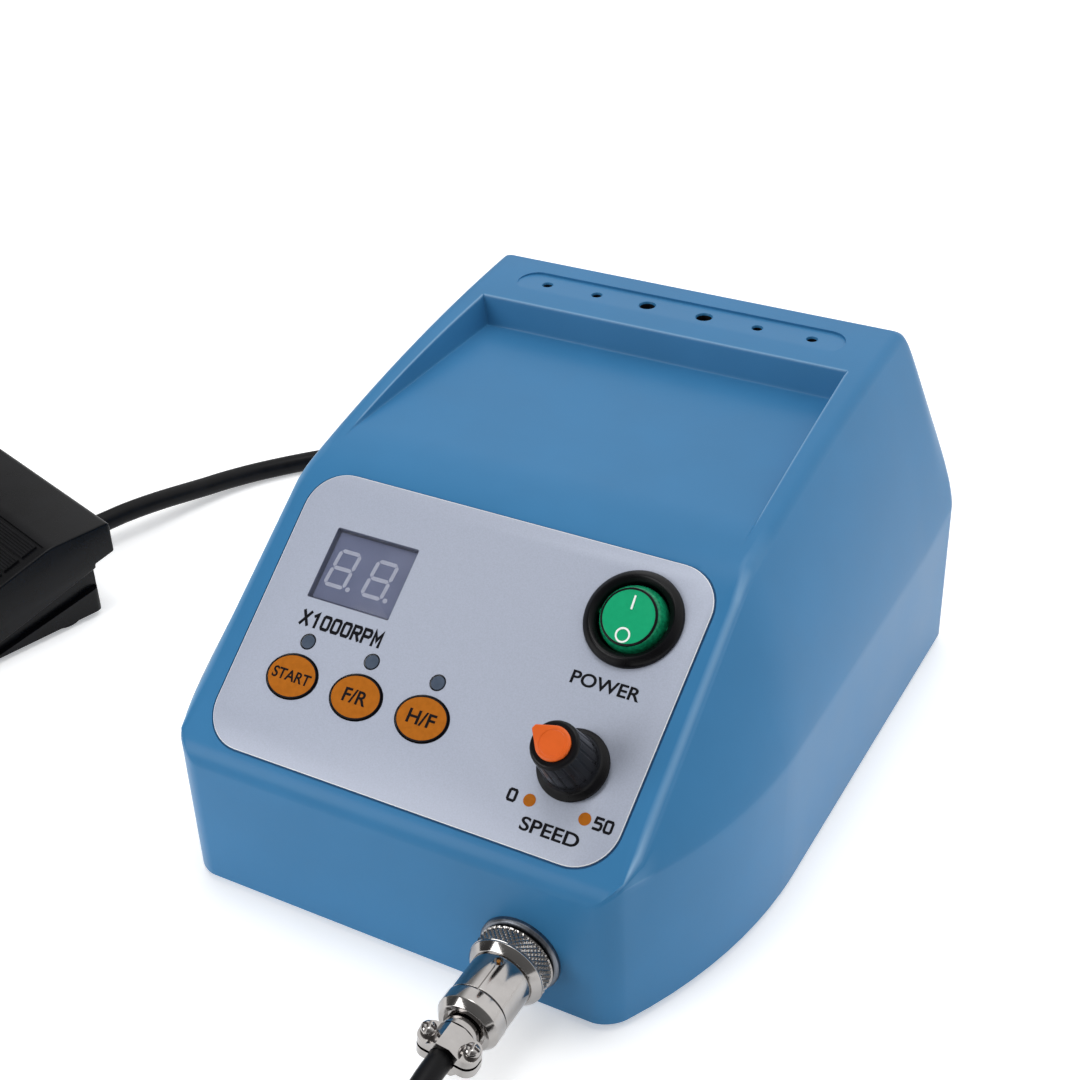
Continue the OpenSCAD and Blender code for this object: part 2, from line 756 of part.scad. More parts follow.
// Inside the box
main_z = floor_z + post_h + board_t;
module main_board() {
    color("#2c5a34") box_frame() difference() {
        slab(main_x - main_w / 2, main_x + main_w / 2, main_y - main_d / 2, main_y + main_d / 2,
            main_z - board_t, main_z);
        for (p = main_spots) translate([p[0], p[1], 0]) disc(board_screw_d + 2 * gap, 0, main_z + 1);
    }
}
sink_fins = 7;
sink_w = 40;
sink_h = 26;
sink_l = 14;
sink_plate = 3;
fin_t = 2;
sink_x = -16;
sink_y = main_d / 2 - 5 - sink_l;
can_d = 16;
can_h = 20;
can_x = [-18, 2];
can_y = -8;
strip_w = 30;
strip_l = 9;
strip_h = 10;
relay = [4, 6, 12];
relay_x = 18;
relay_y = 13 - main_d / 2;
module board_parts() {
    color("#90949c") box_frame() translate([main_x, main_y, main_z]) {
        slab(sink_x, sink_x + sink_w, sink_y, sink_y + sink_plate, 0, sink_h);
        for (i = [0:sink_fins - 1]) {
            x = sink_x + i * (sink_w - fin_t) / (sink_fins - 1);
            slab(x, x + fin_t, sink_y + sink_plate - 1, sink_y + sink_l, 0, sink_h);
        }
        for (x = can_x) translate([x, can_y]) disc(can_d, 0, can_h);
        translate([can_x[0] - strip_w / 5, 3 - main_d / 2, 0]) cube([strip_w, strip_l, strip_h]);
        for (i = [0:2]) translate([relay_x, relay_y + i * relay[1] * 1.5, 0]) cube(relay);
    }
}
module transformer_core() {
    color("#6a6660") box_frame() translate([core_x, core_y, floor_z]) difference() {
        union() {
            slab(-core_w / 2, core_w / 2, -core_t / 2, core_t / 2, 0, core_h);
            slab(-core_w / 2 - 9, core_w / 2 + 9, -core_t / 2, core_t / 2, 0, 1.5);
        }
        for (s = [-1, 1]) {
            translate([s * (leg_w / 2 + yoke / 2), 0, yoke + (core_h - 2 * yoke) / 2])
                cube([yoke, core_t + 2, core_h - 2 * yoke], center = true);
            translate([s * (core_w / 2 + 5), 0, 0]) disc(4.2, -1, 3);
        }
    }
}
module transformer_coil() {
    inner_w = leg_w + 2 * gap;
    inner_t = core_t + 2 * gap;
    outer_w = leg_w + 2 * yoke - 2 * gap;
    h = core_h - 2 * yoke - 2 * gap;
    color("#b88a30") box_frame()
        translate([core_x, core_y, floor_z + yoke + gap]) difference() {
            slab(-outer_w / 2, outer_w / 2, -coil_t / 2, coil_t / 2, 0, h);
            slab(-inner_w / 2, inner_w / 2, -inner_t / 2, inner_t / 2, -1, h + 1);
        }
}

// Rear wall: mains inlet, fuse and pedal socket
inlet_t = 2;
module mains_inlet() {
    color(black) rear_frame(inlet_x) {
        difference() {
            union() {
                slab(-inlet_w / 2, inlet_w / 2, -inlet_h / 2, inlet_h / 2, 0, inlet_t);
                slab(-13.6, 13.6, -10, 10, -inlet_depth, 0.01);
            }
            slab(-12, 12, -8.2, 8.2, -inlet_depth + 2, inlet_t + 1);
        }
        for (x = [-7, 0, 7])
            translate([x, x == 0 ? 4 : 0, 0]) slab(-2, 2, -1, 1, -inlet_depth + 1, -3);
    }
}
module fuse_holder() {
    color(black) rear_frame(fuse_x) difference() {
        union() {
            disc(fuse_d, 0, 4);
            disc(fuse_d - 2, -fuse_l, 0.01);
        }
        slab(-fuse_d * 0.35, fuse_d * 0.35, -0.6, 0.6, 2.8, 5);
    }
}
jack_from = 3;
jack_bore = jack_pin_d + 0.7;
module pedal_socket() {
    color("#a0a2a8") rear_frame(jack_x) difference() {
        union() {
            disc(jack_d - 4, -wall - 2, jack_from - 0.3);
            cylinder(d = jack_d, h = 2.2, $fn = 6);
            slab(-6, 6, -6, 6, -wall - 16, -wall - 1.5);
        }
        disc(jack_bore, -wall - 14, 5);
    }
}

// Power switch
rocker_r = rocker_d / 2;
face_lift = sqrt(rocker_r * rocker_r - pow(rocker_face_d / 2, 2));
well_d = rocker_d + 2 * free;
pin_reach = (barrel_d + well_d) / 4;
pivot_n = overlay_t + rocker_n;
module switch_body() {
    color(black) panel_frame(switch_u, switch_v) difference() {
        union() {
            rotate_extrude() polygon([
                [0, overlay_t], [bezel_d / 2, overlay_t], [bezel_d / 2, overlay_t + bezel_h * 0.45],
                [bezel_d / 2 - 1, overlay_t + bezel_h * 0.85], [bezel_d / 2 - 2, overlay_t + bezel_h],
                [well_d / 2 + 1, overlay_t + bezel_h], [0, overlay_t + bezel_h]
            ]);
            disc(barrel_d, -barrel_l, overlay_t + 0.01);
        }
        disc(well_d, pivot_n - rocker_r - free, 10);
        translate([0, 0, overlay_t + bezel_h - 0.8]) cylinder(d1 = well_d, d2 = well_d + 2, h = 1);
        translate([0, 0, pivot_n]) rotate([0, 90, 0])
            cylinder(d = rocker_pin_d + 2 * running, h = 2 * pin_reach + 0.4, center = true);
    }
    color("#c0a060") panel_frame(switch_u, switch_v) for (v = [-5, 5])
        slab(-2.4, 2.4, v - 0.4, v + 0.4, -barrel_l - 8, -barrel_l + 0.5);
}
module power_rocker() {
    color("#18a060") panel_frame(switch_u, switch_v, pivot_n) rotate([rocker_tilt, 0, 0]) {
        intersection() {
            sphere(r = rocker_r);
            disc(rocker_d + 2, -rocker_r * 0.55, face_lift);
        }
        rotate([0, 90, 0]) cylinder(d = rocker_pin_d, h = 2 * pin_reach, center = true);
    }
}

// Speed control
knob_foot = overlay_t + 0.4;
knob_top = knob_foot + knob_h;
nut_d = 9.6;
nut_h = 2.4;
shaft_top = knob_top - cap_t - 2.5;
hollow_top = overlay_t + bush_l + free;
module speed_knob() {
    color(black) panel_frame(knob_u, knob_v) difference() {
        rotate_extrude() polygon([
            [0, knob_foot], [skirt_d / 2 - 0.4, knob_foot], [skirt_d / 2, knob_foot + 0.4],
            [skirt_d / 2, knob_foot + skirt_t * 0.6], [skirt_d / 2 - 0.8, knob_foot + skirt_t],
            [knob_root_d / 2 + 0.5, knob_foot + skirt_t + 0.4], [knob_root_d / 2, knob_foot + skirt_t + 1],
            [knob_d / 2, knob_top - 0.5], [knob_d / 2 - 0.5, knob_top], [0, knob_top]
        ]);
        for (i = [0:flutes - 1]) rotate(i * 360 / flutes + 180 / flutes)
            translate([knob_d / 2 + flute_d * 0.2, 0, hollow_top + 0.7])
                cylinder(d = flute_d, h = knob_h);
        disc(nut_d + 2 * free, knob_foot - 1, hollow_top);
        disc(shaft_d + 0.1, knob_foot, shaft_top + 0.1);
        disc(cap_d - 2 + 0.2, knob_top - 1.2, knob_top + 1);
    }
}
module knob_cap() {
    color("#e0641e") panel_frame(knob_u, knob_v) rotate(pointer_a) {
        translate([0, 0, knob_top]) linear_extrude(cap_t) {
            circle(d = cap_d);
            polygon([
                [cap_d / 2 * cos(50), cap_d / 2 * sin(50)], [pointer_l, 0.6], [pointer_l, -0.6],
                [cap_d / 2 * cos(50), -cap_d / 2 * sin(50)]
            ]);
        }
        disc(cap_d - 2, knob_top - 1, knob_top + 0.01);
    }
}
pot_n = -wall - 0.2;
module pot_shaft() {
    color(chrome) panel_frame(knob_u, knob_v) difference() {
        disc(shaft_d, pot_n - pot_h + 2, shaft_top);
        slab(shaft_d * 0.3, shaft_d, -shaft_d, shaft_d, hollow_top + 1, shaft_top + 1);
    }
}
module potentiometer() {
    color("#8a8c90") panel_frame(knob_u, knob_v) difference() {
        union() {
            disc(pot_d, pot_n - pot_h, pot_n);
            disc(bush_d, pot_n - 1, overlay_t + bush_l);
            slab(-6, 6, -pot_d / 2 - 5, 0, pot_n - pot_h + 2, pot_n - pot_h + 4);
        }
        disc(shaft_d + 2 * running, pot_n - pot_h + 1.5, overlay_t + bush_l + 1);
    }
}
module pot_nut() {
    color(chrome) panel_frame(knob_u, knob_v) difference() {
        translate([0, 0, overlay_t]) cylinder(d = nut_d, h = nut_h, $fn = 6);
        disc(bush_d + 0.1, overlay_t - 1, overlay_t + nut_h + 1);
    }
}

// Motor socket and plug: z runs out of the front wall
ring_from = flange_t + 0.5;
ring_to = ring_from + ring_l;
lip = 1;
ring_bore = max(spigot_d, shell_d) + 1.4;
shell_to = ring_to + shell_l;
neck_l = 4.4;
neck_to = shell_to + neck_l;
clamp_edge = 1.9;
clamp_at = clamp_w / 2 - clamp_edge;
clamp_to = neck_to + clamp_l;
clamp_bore = motor_cord_d + 0.3;
clamp_d = clamp_bore + 2;
groove_z = ring_to + shell_l * 0.74;
shell_in = flange_t + spigot_l + 0.4;
module motor_socket() {
    color(chrome) plug_frame() difference() {
        union() {
            disc(flange_d, 0, flange_t);
            disc(socket_d, -wall - socket_l, 0.01);
            disc(spigot_d, flange_t - 0.01, flange_t + spigot_l);
        }
        tube(socket_d + 1, socket_d - 0.5, -wall - socket_l - 1, -wall - 6);
    }
}
module socket_nut() {
    color(chrome) plug_frame() difference() {
        translate([0, 0, -wall - 0.3 - 3]) cylinder(d = flange_d + 2, h = 3, $fn = 6);
        disc(socket_d + 0.1, -wall - 8, 0);
    }
}
knurl_to = ring_to - 2.2;
module coupling_ring() {
    color(chrome) plug_frame() difference() {
        rotate_extrude() polygon([
            [shell_d / 2 + running, ring_from],
            [ring_d / 2 - 0.3, ring_from], [ring_d / 2, ring_from + 0.3],
            [ring_d / 2, knurl_to], [ring_d / 2 - 0.3, knurl_to + 0.4], [shell_d / 2 + 1, ring_to],
            [shell_d / 2 + running, ring_to]
        ]);
        disc(ring_bore, ring_from - 1, ring_to - lip);
    }
}
module plug_shell() {
    color(chrome) plug_frame() rotate(plug_roll) difference() {
        union() {
            disc(ring_bore - 0.8, shell_in, ring_to - lip - 0.3);
            disc(shell_d, shell_in, shell_to);
            disc(shell_d * 0.7, shell_to - 0.01, neck_to);
            intersection() {
                disc(clamp_d, neck_to - 0.01, clamp_to);
                slab(-20, 20, -20, -0.4, neck_to - 1, clamp_to);
            }
            slab(-clamp_w / 2, clamp_w / 2, -2.6, -0.4, neck_to, clamp_to);
        }
        tube(shell_d + 2, shell_d - 0.6, groove_z, groove_z + 0.5);
        disc(clamp_bore, shell_to, clamp_to + 1);
        for (s = [-1, 1]) translate([s * clamp_at, 0, (neck_to + clamp_to) / 2])
            rotate([90, 0, 0]) cylinder(d = clamp_screw_d + 2 * running, h = 30, center = true);
    }
}
module cable_clamp() {
    color(chrome) plug_frame() rotate(plug_roll) difference() {
        union() {
            intersection() {
                disc(clamp_d, neck_to + gap, clamp_to);
                slab(-20, 20, 0.4, 20, neck_to, clamp_to + 1);
            }
            slab(-clamp_w / 2, clamp_w / 2, 0.4, 2.2, neck_to + gap, clamp_to);
        }
        disc(clamp_bore, neck_to - 1, clamp_to + 1);
        for (s = [-1, 1]) translate([s * clamp_at, 0, (neck_to + clamp_to) / 2])
            rotate([90, 0, 0]) cylinder(d = clamp_screw_d + 2 * gap, h = 30, center = true);
    }
}
module clamp_screws() {
    color(chrome) plug_frame() rotate(plug_roll) for (s = [-1, 1])
        translate([s * clamp_at, 2.2, (neck_to + clamp_to) / 2]) rotate([-90, 0, 0]) {
            difference() {
                screw(clamp_screw_d, 6.5, clamp_screw_d * 1.8, 1.8);
                slab(-5, 5, -0.35, 0.35, 1.1, 3);
            }
        }
}

// Cords: routes by hand, in millimetres from the origin
plug_y = -body_d / 2 - shell_to;
plug_z = foot_h + socket_z;
lift = tie_t + 0.4;
motor_pitch = motor_cord_d + 0.6;
motor_coil_in = 6 * motor_cord_d - motor_pitch * coil_turns / 2;
motor_coil_out = motor_coil_in + motor_pitch * coil_turns;
motor_coil_start = [socket_x, -170, lift + motor_cord_d / 2];
motor_coil_mid = motor_coil_start + [motor_coil_out, 0, 0];
motor_coil_end = motor_coil_start + [0, 0, motor_pitch];
motor_route = [
    [socket_x, plug_y, plug_z], [socket_x, -118, plug_z], [socket_x, -125, plug_z],
    [socket_x, -132, 14.2], [socket_x, -139, 11.4], [socket_x, -146, 8], [socket_x, -153, 5.2],
    motor_coil_start + [0, 2 * motor_cord_d, 0], motor_coil_start + [0, motor_cord_d, 0]
];
hand_y = -208;
hand_x = -1;
tail_z = hand_d / 2 + 0.2;
motor_tail_route = [
    motor_coil_end - [0, motor_cord_d, 0], motor_coil_end - [0, 1.6 * motor_cord_d, 0],
    [33.2, -184, 10.6], [30.8, -190, 11.3], [26.5, -196, 12],
    [20, -202, 12.8], [12, -206.2, 13.4], [4.5, -208, tail_z], [hand_x, hand_y, tail_z]
];
pedal_pitch = pedal_cord_d + 0.6;
pedal_coil_turns = coil_turns;
pedal_coil_in = 5.5 * pedal_cord_d - pedal_pitch * pedal_coil_turns / 2;
pedal_rest = pedal_cord_d / 2 + 0.1;
pedal_coil_out = pedal_coil_in + pedal_pitch * pedal_coil_turns;
pedal_coil_start = [-60, 146, lift + pedal_cord_d / 2];
pedal_coil_mid = pedal_coil_start + [0, pedal_coil_out, 0];
pedal_coil_end = pedal_coil_start + [0, 0, pedal_pitch];
exit_x = -32;
exit_z = 8;
grommet_l = 8;
exit_out = grommet_l - overhang;
pedal_exit = [
    pedal_x + exit_x * cos(pedal_turn) - exit_out * sin(pedal_turn),
    pedal_y + exit_x * sin(pedal_turn) + exit_out * cos(pedal_turn), exit_z
];
pedal_way = [
    [-171.6, 19, 8], [-169.5, 25, 8], [-167.3, 31, 7.7], [-165, 38, 6.9],
    [-162.5, 45.5, 5.8], [-160, 52.5, 4.8], [-157.5, 59, 4.1], [-154.5, 65, 3.6], [-151, 70.5, 3.3],
    [-146, 77, 0], [-140, 83.5, 0], [-132, 91.5, 0], [-123, 100, 0], [-113.5, 109, 0],
    [-104, 118, 0], [-95, 126.5, 0], [-87, 133.6, 3.2], [-80, 139.6, 3.5], [-74, 144, 3.9]
];
pedal_route = concat(
    [pedal_exit, pedal_exit + pedal_cord_d * [-sin(pedal_turn), cos(pedal_turn), 0]],
    [for (p = pedal_way) [p[0], p[1], max(p[2], pedal_rest)]],
    [pedal_coil_start - [1.6 * pedal_cord_d, 0, 0], pedal_coil_start - [pedal_cord_d, 0, 0]]
);
jack_to = jack_from + 17;
jack_boot_to = jack_to + 8;
jack_y = body_d / 2 + jack_boot_to;
jack_z = foot_h + rear_z;
pedal_tail_route = [
    pedal_coil_end + [pedal_cord_d, 0, 0], pedal_coil_end + [1.6 * pedal_cord_d, 0, 0],
    [-46.5, 144.6, 11.4], [-41, 140.8, 12.9], [-37, 135, 15.5], [-34.4, 128.5, 19],
    [-33.2, 122, 21.2], [jack_x, jack_y + 3, jack_z], [jack_x, jack_y, jack_z]
];
function dir(a) = a / norm(a);
function along(path, i) = dir(path[min(i + 1, len(path) - 1)] - path[max(i - 1, 0)]);
function cord_ring(path, i, d, sides) =
    let (
        t = along(path, i),
        level = abs(t[2]) > 0.99 ? [1, 0, 0] : dir(cross([0, 0, 1], t)),
        up = cross(t, level)
    )
    [for (j = [0:sides - 1])
        path[i] + d / 2 * (level * cos(j * 360 / sides) - up * sin(j * 360 / sides))];
module cord(path, d, sides) {
    skin_tri([for (i = [0:len(path) - 1]) cord_ring(path, i, d, sides)]);
}
module skin_tri(rings) {
    n = len(rings[0]);
    last = (len(rings) - 1) * n;
    polyhedron(
        [for (r = rings) each r],
        concat(
            [for (j = [1:n - 2]) [0, j + 1, j]],
            [for (i = [0:len(rings) - 2]) for (j = [0:n - 1])
                [i * n + j, i * n + (j + 1) % n, (i + 1) * n + (j + 1) % n]],
            [for (i = [0:len(rings) - 2]) for (j = [0:n - 1])
                [i * n + j, (i + 1) * n + (j + 1) % n, (i + 1) * n + j]],
            [for (j = [1:n - 2]) [last, last + j, last + j + 1]]
        ),
        convexity = 10
    );
}

// A coil spirals in on the bench and out again one layer up, and climbs in the half turn between
coil_step = 24;
function coil_point(mid, r_in, pitch, turns, from, t) =
    let (
        r = r_in + pitch * abs(t - turns),
        climb = min(max((t - turns + 0.25) * 2, 0), 1),
        a = from + 360 * t
    )
    mid + [r * cos(a), r * sin(a), pitch * climb];
function coil_path(start, mid, r_in, pitch, turns, from, d) =
    let (
        heading = [-sin(from), cos(from), 0],
        top = start + [0, 0, pitch]
    )
    concat(
        [start - heading * d],
        [for (i = [0:2 * turns * coil_step])
            coil_point(mid, r_in, pitch, turns, from, i / coil_step)],
        [top + heading * d]
    );
function least(list) = min(list);
function coil_gap(path, d) = least([
    for (i = [0:len(path) - 1]) for (j = [i + 12:max(len(path) - 1, i + 12)])
        if (j < len(path)) norm(path[i] - path[j])
]) - d;
motor_coil_path = coil_path(
    motor_coil_start, motor_coil_mid, motor_coil_in, motor_pitch, coil_turns, 180, motor_cord_d);
pedal_coil_path = coil_path(
    pedal_coil_start, pedal_coil_mid, pedal_coil_in, pedal_pitch, pedal_coil_turns, -90, pedal_cord_d);
cord_sides = 8;
coil_sides = 6;
module motor_cord() {
    color(black) cord(motor_route, motor_cord_d, cord_sides);
}
module motor_cord_coil() {
    echo(motor_coil_least_gap = coil_gap(motor_coil_path, motor_cord_d));
    color(black) cord(motor_coil_path, motor_cord_d, coil_sides);
}
module motor_cord_tail() {
    color(black) cord(motor_tail_route, motor_cord_d, cord_sides);
}
module coil_tie(mid, r_in, r_out, pitch, d, turn) {
    inner = r_in - d / 2 - free;
    outer = r_out + d / 2 + free;
    top = lift + d + pitch + free;
    translate([mid[0], mid[1], 0]) rotate(turn) difference() {
        slab(inner - tie_t, outer + tie_t, -tie_w / 2, tie_w / 2, 0.1, top + tie_t);
        slab(inner, outer, -tie_w, tie_w, 0.1 + tie_t, top);
    }
}
module motor_cord_tie() {
    color("#303036")
        coil_tie(motor_coil_mid, motor_coil_in, motor_coil_out, motor_pitch, motor_cord_d, 0);
}
module pedal_cord() {
    color(black) cord(pedal_route, pedal_cord_d, cord_sides);
}
module pedal_cord_coil() {
    echo(pedal_coil_least_gap = coil_gap(pedal_coil_path, pedal_cord_d));
    color(black) cord(pedal_coil_path, pedal_cord_d, coil_sides);
}
module pedal_cord_tail() {
    color(black) cord(pedal_tail_route, pedal_cord_d, cord_sides);
}
module pedal_cord_tie() {
    color("#303036")
        coil_tie(pedal_coil_mid, pedal_coil_in, pedal_coil_out, pedal_pitch, pedal_cord_d, 180);
}
module pedal_plug() {
    color(black) rear_frame(jack_x) {
        disc(jack_pin_d, -wall - 12, jack_from + 1);
        disc(jack_plug_d, jack_from, jack_to);
        translate([0, 0, jack_to - 0.01])
            cylinder(d1 = jack_plug_d - 2, d2 = pedal_cord_d + 1.6, h = jack_boot_to - jack_to);
    }
}

// Handpiece: x runs from the cord to the nose, turned to lie along -X
cap_from = boot_l;
sleeve_from = cap_from + rear_cap_l;
chuck_from = sleeve_from + sleeve_l + gap;
nose_from = chuck_from + chuck_l + gap;
nose_to = nose_from + nose_l;
sleeve_in = hand_d - 2 * sleeve_t;
bearing_d = armature_d + 2;
bearing_l = 5;
rear_bearing = sleeve_from + 4;
front_bearing = nose_from + 5;
magnet_in = armature_d + 2 * free;
magnet_d = sleeve_in - 2 * gap;
magnet_from = rear_bearing + bearing_l + 4;
magnet_to = chuck_from - 7;
spigot_out = hand_d - 6;
collar_l = 5;
module hand_frame() {
    translate([hand_x, hand_y, tail_z])
        rotate([0, -90, 0]) children();
}
module handpiece_boot() {
    ribs = 5;
    color(black) hand_frame() rotate_extrude() polygon(concat(
        [[0, 0], [motor_cord_d / 2 + 1, 0]],
        [for (i = [0:ribs - 1]) for (k = [0, 1])
            [motor_cord_d / 2 + 1.2 + i * 0.7 + (k == 0 ? 0.9 : 0), 2 + i * (boot_l - 6) / ribs + k * 2.2]],
        [[hand_d * 0.3, boot_l - 3], [hand_d * 0.3, boot_l], [0, boot_l]]
    ));
}
module handpiece_rear_cap() {
    color("#a8acb4") hand_frame() rotate_extrude() polygon([
        [0, cap_from], [hand_d * 0.36, cap_from], [hand_d / 2 - 0.6, cap_from + rear_cap_l * 0.5],
        [hand_d / 2 - 0.6, sleeve_from - gap], [0, sleeve_from - gap]
    ]);
}
module handpiece_sleeve() {
    color("#c4c8d0") hand_frame() difference() {
        rotate_extrude() polygon([
            [0, sleeve_from], [hand_d / 2 - 0.6, sleeve_from], [hand_d / 2, sleeve_from + 0.8],
            [hand_d / 2, sleeve_from + sleeve_l - 0.8], [hand_d / 2 - 0.6, sleeve_from + sleeve_l],
            [0, sleeve_from + sleeve_l]
        ]);
        disc(sleeve_in, rear_bearing + bearing_l + 2, chuck_from + 1);
        disc(bearing_d + 2 * gap, rear_bearing, rear_bearing + bearing_l + 3);
        disc(spindle_d + 2 * free, sleeve_from + 1.5, rear_bearing + 1);
    }
}
module chuck_ring() {
    grooves = 24;
    color("#8c9098") hand_frame() difference() {
        rotate_extrude() polygon([
            [spigot_out / 2 + running, chuck_from], [hand_d / 2 - 0.5, chuck_from],
            [hand_d / 2 - 0.2, chuck_from + 0.6], [hand_d / 2 - 0.8, chuck_from + chuck_l - 0.6],
            [hand_d / 2 - 1.4, chuck_from + chuck_l], [spigot_out / 2 + running, chuck_from + chuck_l]
        ]);
        for (i = [0:grooves - 1]) rotate(i * 360 / grooves)
            translate([hand_d / 2 + 0.3, 0, chuck_from + 3]) cylinder(d = 2.2, h = chuck_l - 6);
    }
}
module handpiece_nose() {
    color("#c4c8d0") hand_frame() difference() {
        rotate_extrude() polygon([
            [0, chuck_from - gap - collar_l], [sleeve_in / 2 - gap, chuck_from - gap - collar_l],
            [sleeve_in / 2 - gap, chuck_from - gap], [spigot_out / 2, chuck_from - gap],
            [spigot_out / 2, nose_from], [hand_d / 2 - 1.4, nose_from],
            [hand_d / 2 - 1.8, nose_from + nose_l * 0.3],
            [tip_d / 2 + 2.4, nose_from + nose_l * 0.72], [tip_d / 2, nose_to - 1.5],
            [tip_d / 2 - 1, nose_to], [0, nose_to]
        ]);
        disc(bearing_d + 2 * gap, chuck_from - 10, front_bearing + bearing_l);
        disc(spindle_d + 2 * 1.3, nose_from, nose_to + 1);
    }
}
module motor_magnets() {
    color("#5a5a60") hand_frame() tube(magnet_d, magnet_in, magnet_from, magnet_to);
}
shaft_from = sleeve_from + 3;
shaft_to = nose_to + 1;
collet_wall = 0.7;
module motor_armature() {
    color("#b0703a") hand_frame() difference() {
        union() {
            disc(spindle_d, shaft_from, shaft_to);
            disc(armature_d, magnet_from + 1, magnet_to - 1);
            disc(armature_d * 0.6, magnet_from - 3, magnet_from + 1.01);
        }
        disc(collet_d + 2 * collet_wall + 0.1, shaft_to - collet_l - 2, shaft_to + 1);
    }
}
module spindle_bearings() {
    color(chrome) hand_frame() for (z = [rear_bearing, front_bearing])
        tube(bearing_d, spindle_d + 2 * running, z + 0.1, z + bearing_l - 0.1);
}
module collet() {
    color("#b8bac0") hand_frame() difference() {
        union() {
            disc(collet_d + 2 * collet_wall, shaft_to - collet_l, shaft_to + 1.01);
            disc(spindle_d, shaft_to + 0.1, shaft_to + 1.5);
        }
        disc(collet_d, shaft_to - collet_l - 1, shaft_to + 3);
    }
}

// Pedal: y runs to the rear edge at 0, x from the right-hand side at 0 to -pedal_w
tread_drop = tan(pedal_slope);
function tread_z(y) = pedal_h - max(0, -y - pedal_level) * tread_drop;
nose_y = -pedal_l;
nose_top = tread_z(nose_y + 5);
skirt_z = 3.2;
side_low = pedal_h - side_h;
side_run = (side_low - skirt_z) / tread_drop;
module pedal_profile() {
    polygon([
        [0, pedal_h - skirt_h], [0, pedal_h - 2], [-0.6, pedal_h - 0.6], [-2, pedal_h],
        [-pedal_level, pedal_h], [nose_y + 5, nose_top], [nose_y + 1.5, nose_top - 2.6],
        [nose_y, nose_top - 5], [nose_y, skirt_z], [-pedal_level - side_run, skirt_z],
        [-pedal_level, side_low], [-overhang, side_low + (pedal_level - overhang) * tread_drop],
        [-overhang, pedal_h - skirt_h - 1.6]
    ]);
}
tread_in = tread_t + 0.3;
module pedal_hollow() {
    polygon([
        [-tread_t, -1], [-tread_t, pedal_h - tread_in], [-pedal_level - 0.3, pedal_h - tread_in],
        [nose_y + 5.6, nose_top - tread_in], [nose_y + tread_t, nose_top - 6], [nose_y + tread_t, -1]
    ]);
}
module across(x0, x1) {
    translate([x0, 0, 0]) rotate([90, 0, 90]) linear_extrude(x1 - x0) children();
}
lug_w = 8;
lug_x = [-22, -pedal_w + 22 - lug_w];
ear_w = 6;
ear_x = [lug_x[0] + lug_w + free, lug_x[1] - ear_w - free];
spring_x = -pedal_w / 2;
spring_y = -24;
sensor_x = -pedal_w / 2;
sensor_y = -48;
magnet_h = 3;
pill_d = 8;
grip_edge = 2.2;
grip_in = 4.8;
grip_from = pedal_level + 1;
grip_to = pedal_l - 8;
bars = floor((grip_to - grip_from - bar_gap) / bar_pitch);
module on_tread(y0, y1, low, high) {
    polygon([
        [-y0, tread_z(-y0) + low], [-y1, tread_z(-y1) + low],
        [-y1, tread_z(-y1) + high], [-y0, tread_z(-y0) + high]
    ]);
}
module grip_recess() {
    across(-pedal_w + grip_edge, -grip_edge) on_tread(grip_from, grip_to, -grip_depth, 1);
}
module grip_bars() {
    for (i = [0:bars - 1])
        across(-pedal_w + grip_in, -grip_in)
            on_tread(grip_from + bar_gap + i * bar_pitch, grip_from + (i + 1) * bar_pitch,
                -grip_depth - 0.2, 0);
}
module pedal_treadle() {
    color(black) pedal_frame() difference() {
        union() {
            difference() {
                across(-pedal_w, 0) pedal_profile();
                across(-pedal_w + tread_t, -tread_t) pedal_hollow();
                grip_recess();
            }
            grip_bars();
            for (x = lug_x) {
                translate([x, -hinge_y, hinge_z]) rotate([0, 90, 0]) cylinder(d = eye_d, h = lug_w);
                slab(x, x + lug_w, -hinge_y - eye_d / 2, -hinge_y + eye_d / 2,
                    hinge_z, tread_z(-hinge_y - eye_d / 2) - 1);
            }
            translate([sensor_x, sensor_y, tread_z(sensor_y) - tread_in - magnet_h - 1])
                cylinder(d = 12, h = magnet_h + 2.5);
        }
        translate([lug_x[1] - 1, -hinge_y, hinge_z]) rotate([0, 90, 0])
            cylinder(d = hinge_d + 2 * running, h = lug_x[0] - lug_x[1] + lug_w + 2);
        translate([sensor_x, sensor_y, tread_z(sensor_y) - tread_in - magnet_h - 2])
            cylinder(d = pill_d + 2 * gap, h = magnet_h + 1.2);
    }
}
module pedal_magnet() {
    color("#9a9ca0") pedal_frame()
        translate([sensor_x, sensor_y, tread_z(sensor_y) - tread_in - magnet_h - 1])
            cylinder(d = pill_d, h = magnet_h);
}
base_in = tread_t + free;
base_t = 1.8;
base_z = pedal_foot_h + base_t;
base_rear = -overhang;
base_front = nose_y + tread_t + 1.5;
wall_z = pedal_h - skirt_h - 2;
module base_side() {
    polygon([
        [base_rear, pedal_foot_h], [base_rear, wall_z], [-pedal_level, wall_z - 2.5],
        [-hinge_y + 8, base_z + 2], [base_front, base_z + 2], [base_front, pedal_foot_h]
    ]);
}
plinth_edge = 0.4;
plinth_to = 44;
plinth_rise = 0.3;
press_room = free + 0.3;
function pressed_skirt(y) = side_low - (-y - pedal_level) * tread_drop
    - (hinge_y + y) * sin(press);
module plinth_side() {
    polygon([
        [base_rear, pedal_foot_h], [base_rear, pressed_skirt(base_rear) - press_room],
        [-pedal_level, pressed_skirt(-pedal_level) - press_room],
        [-plinth_to, pedal_foot_h + plinth_rise], [-plinth_to, pedal_foot_h]
    ]);
}
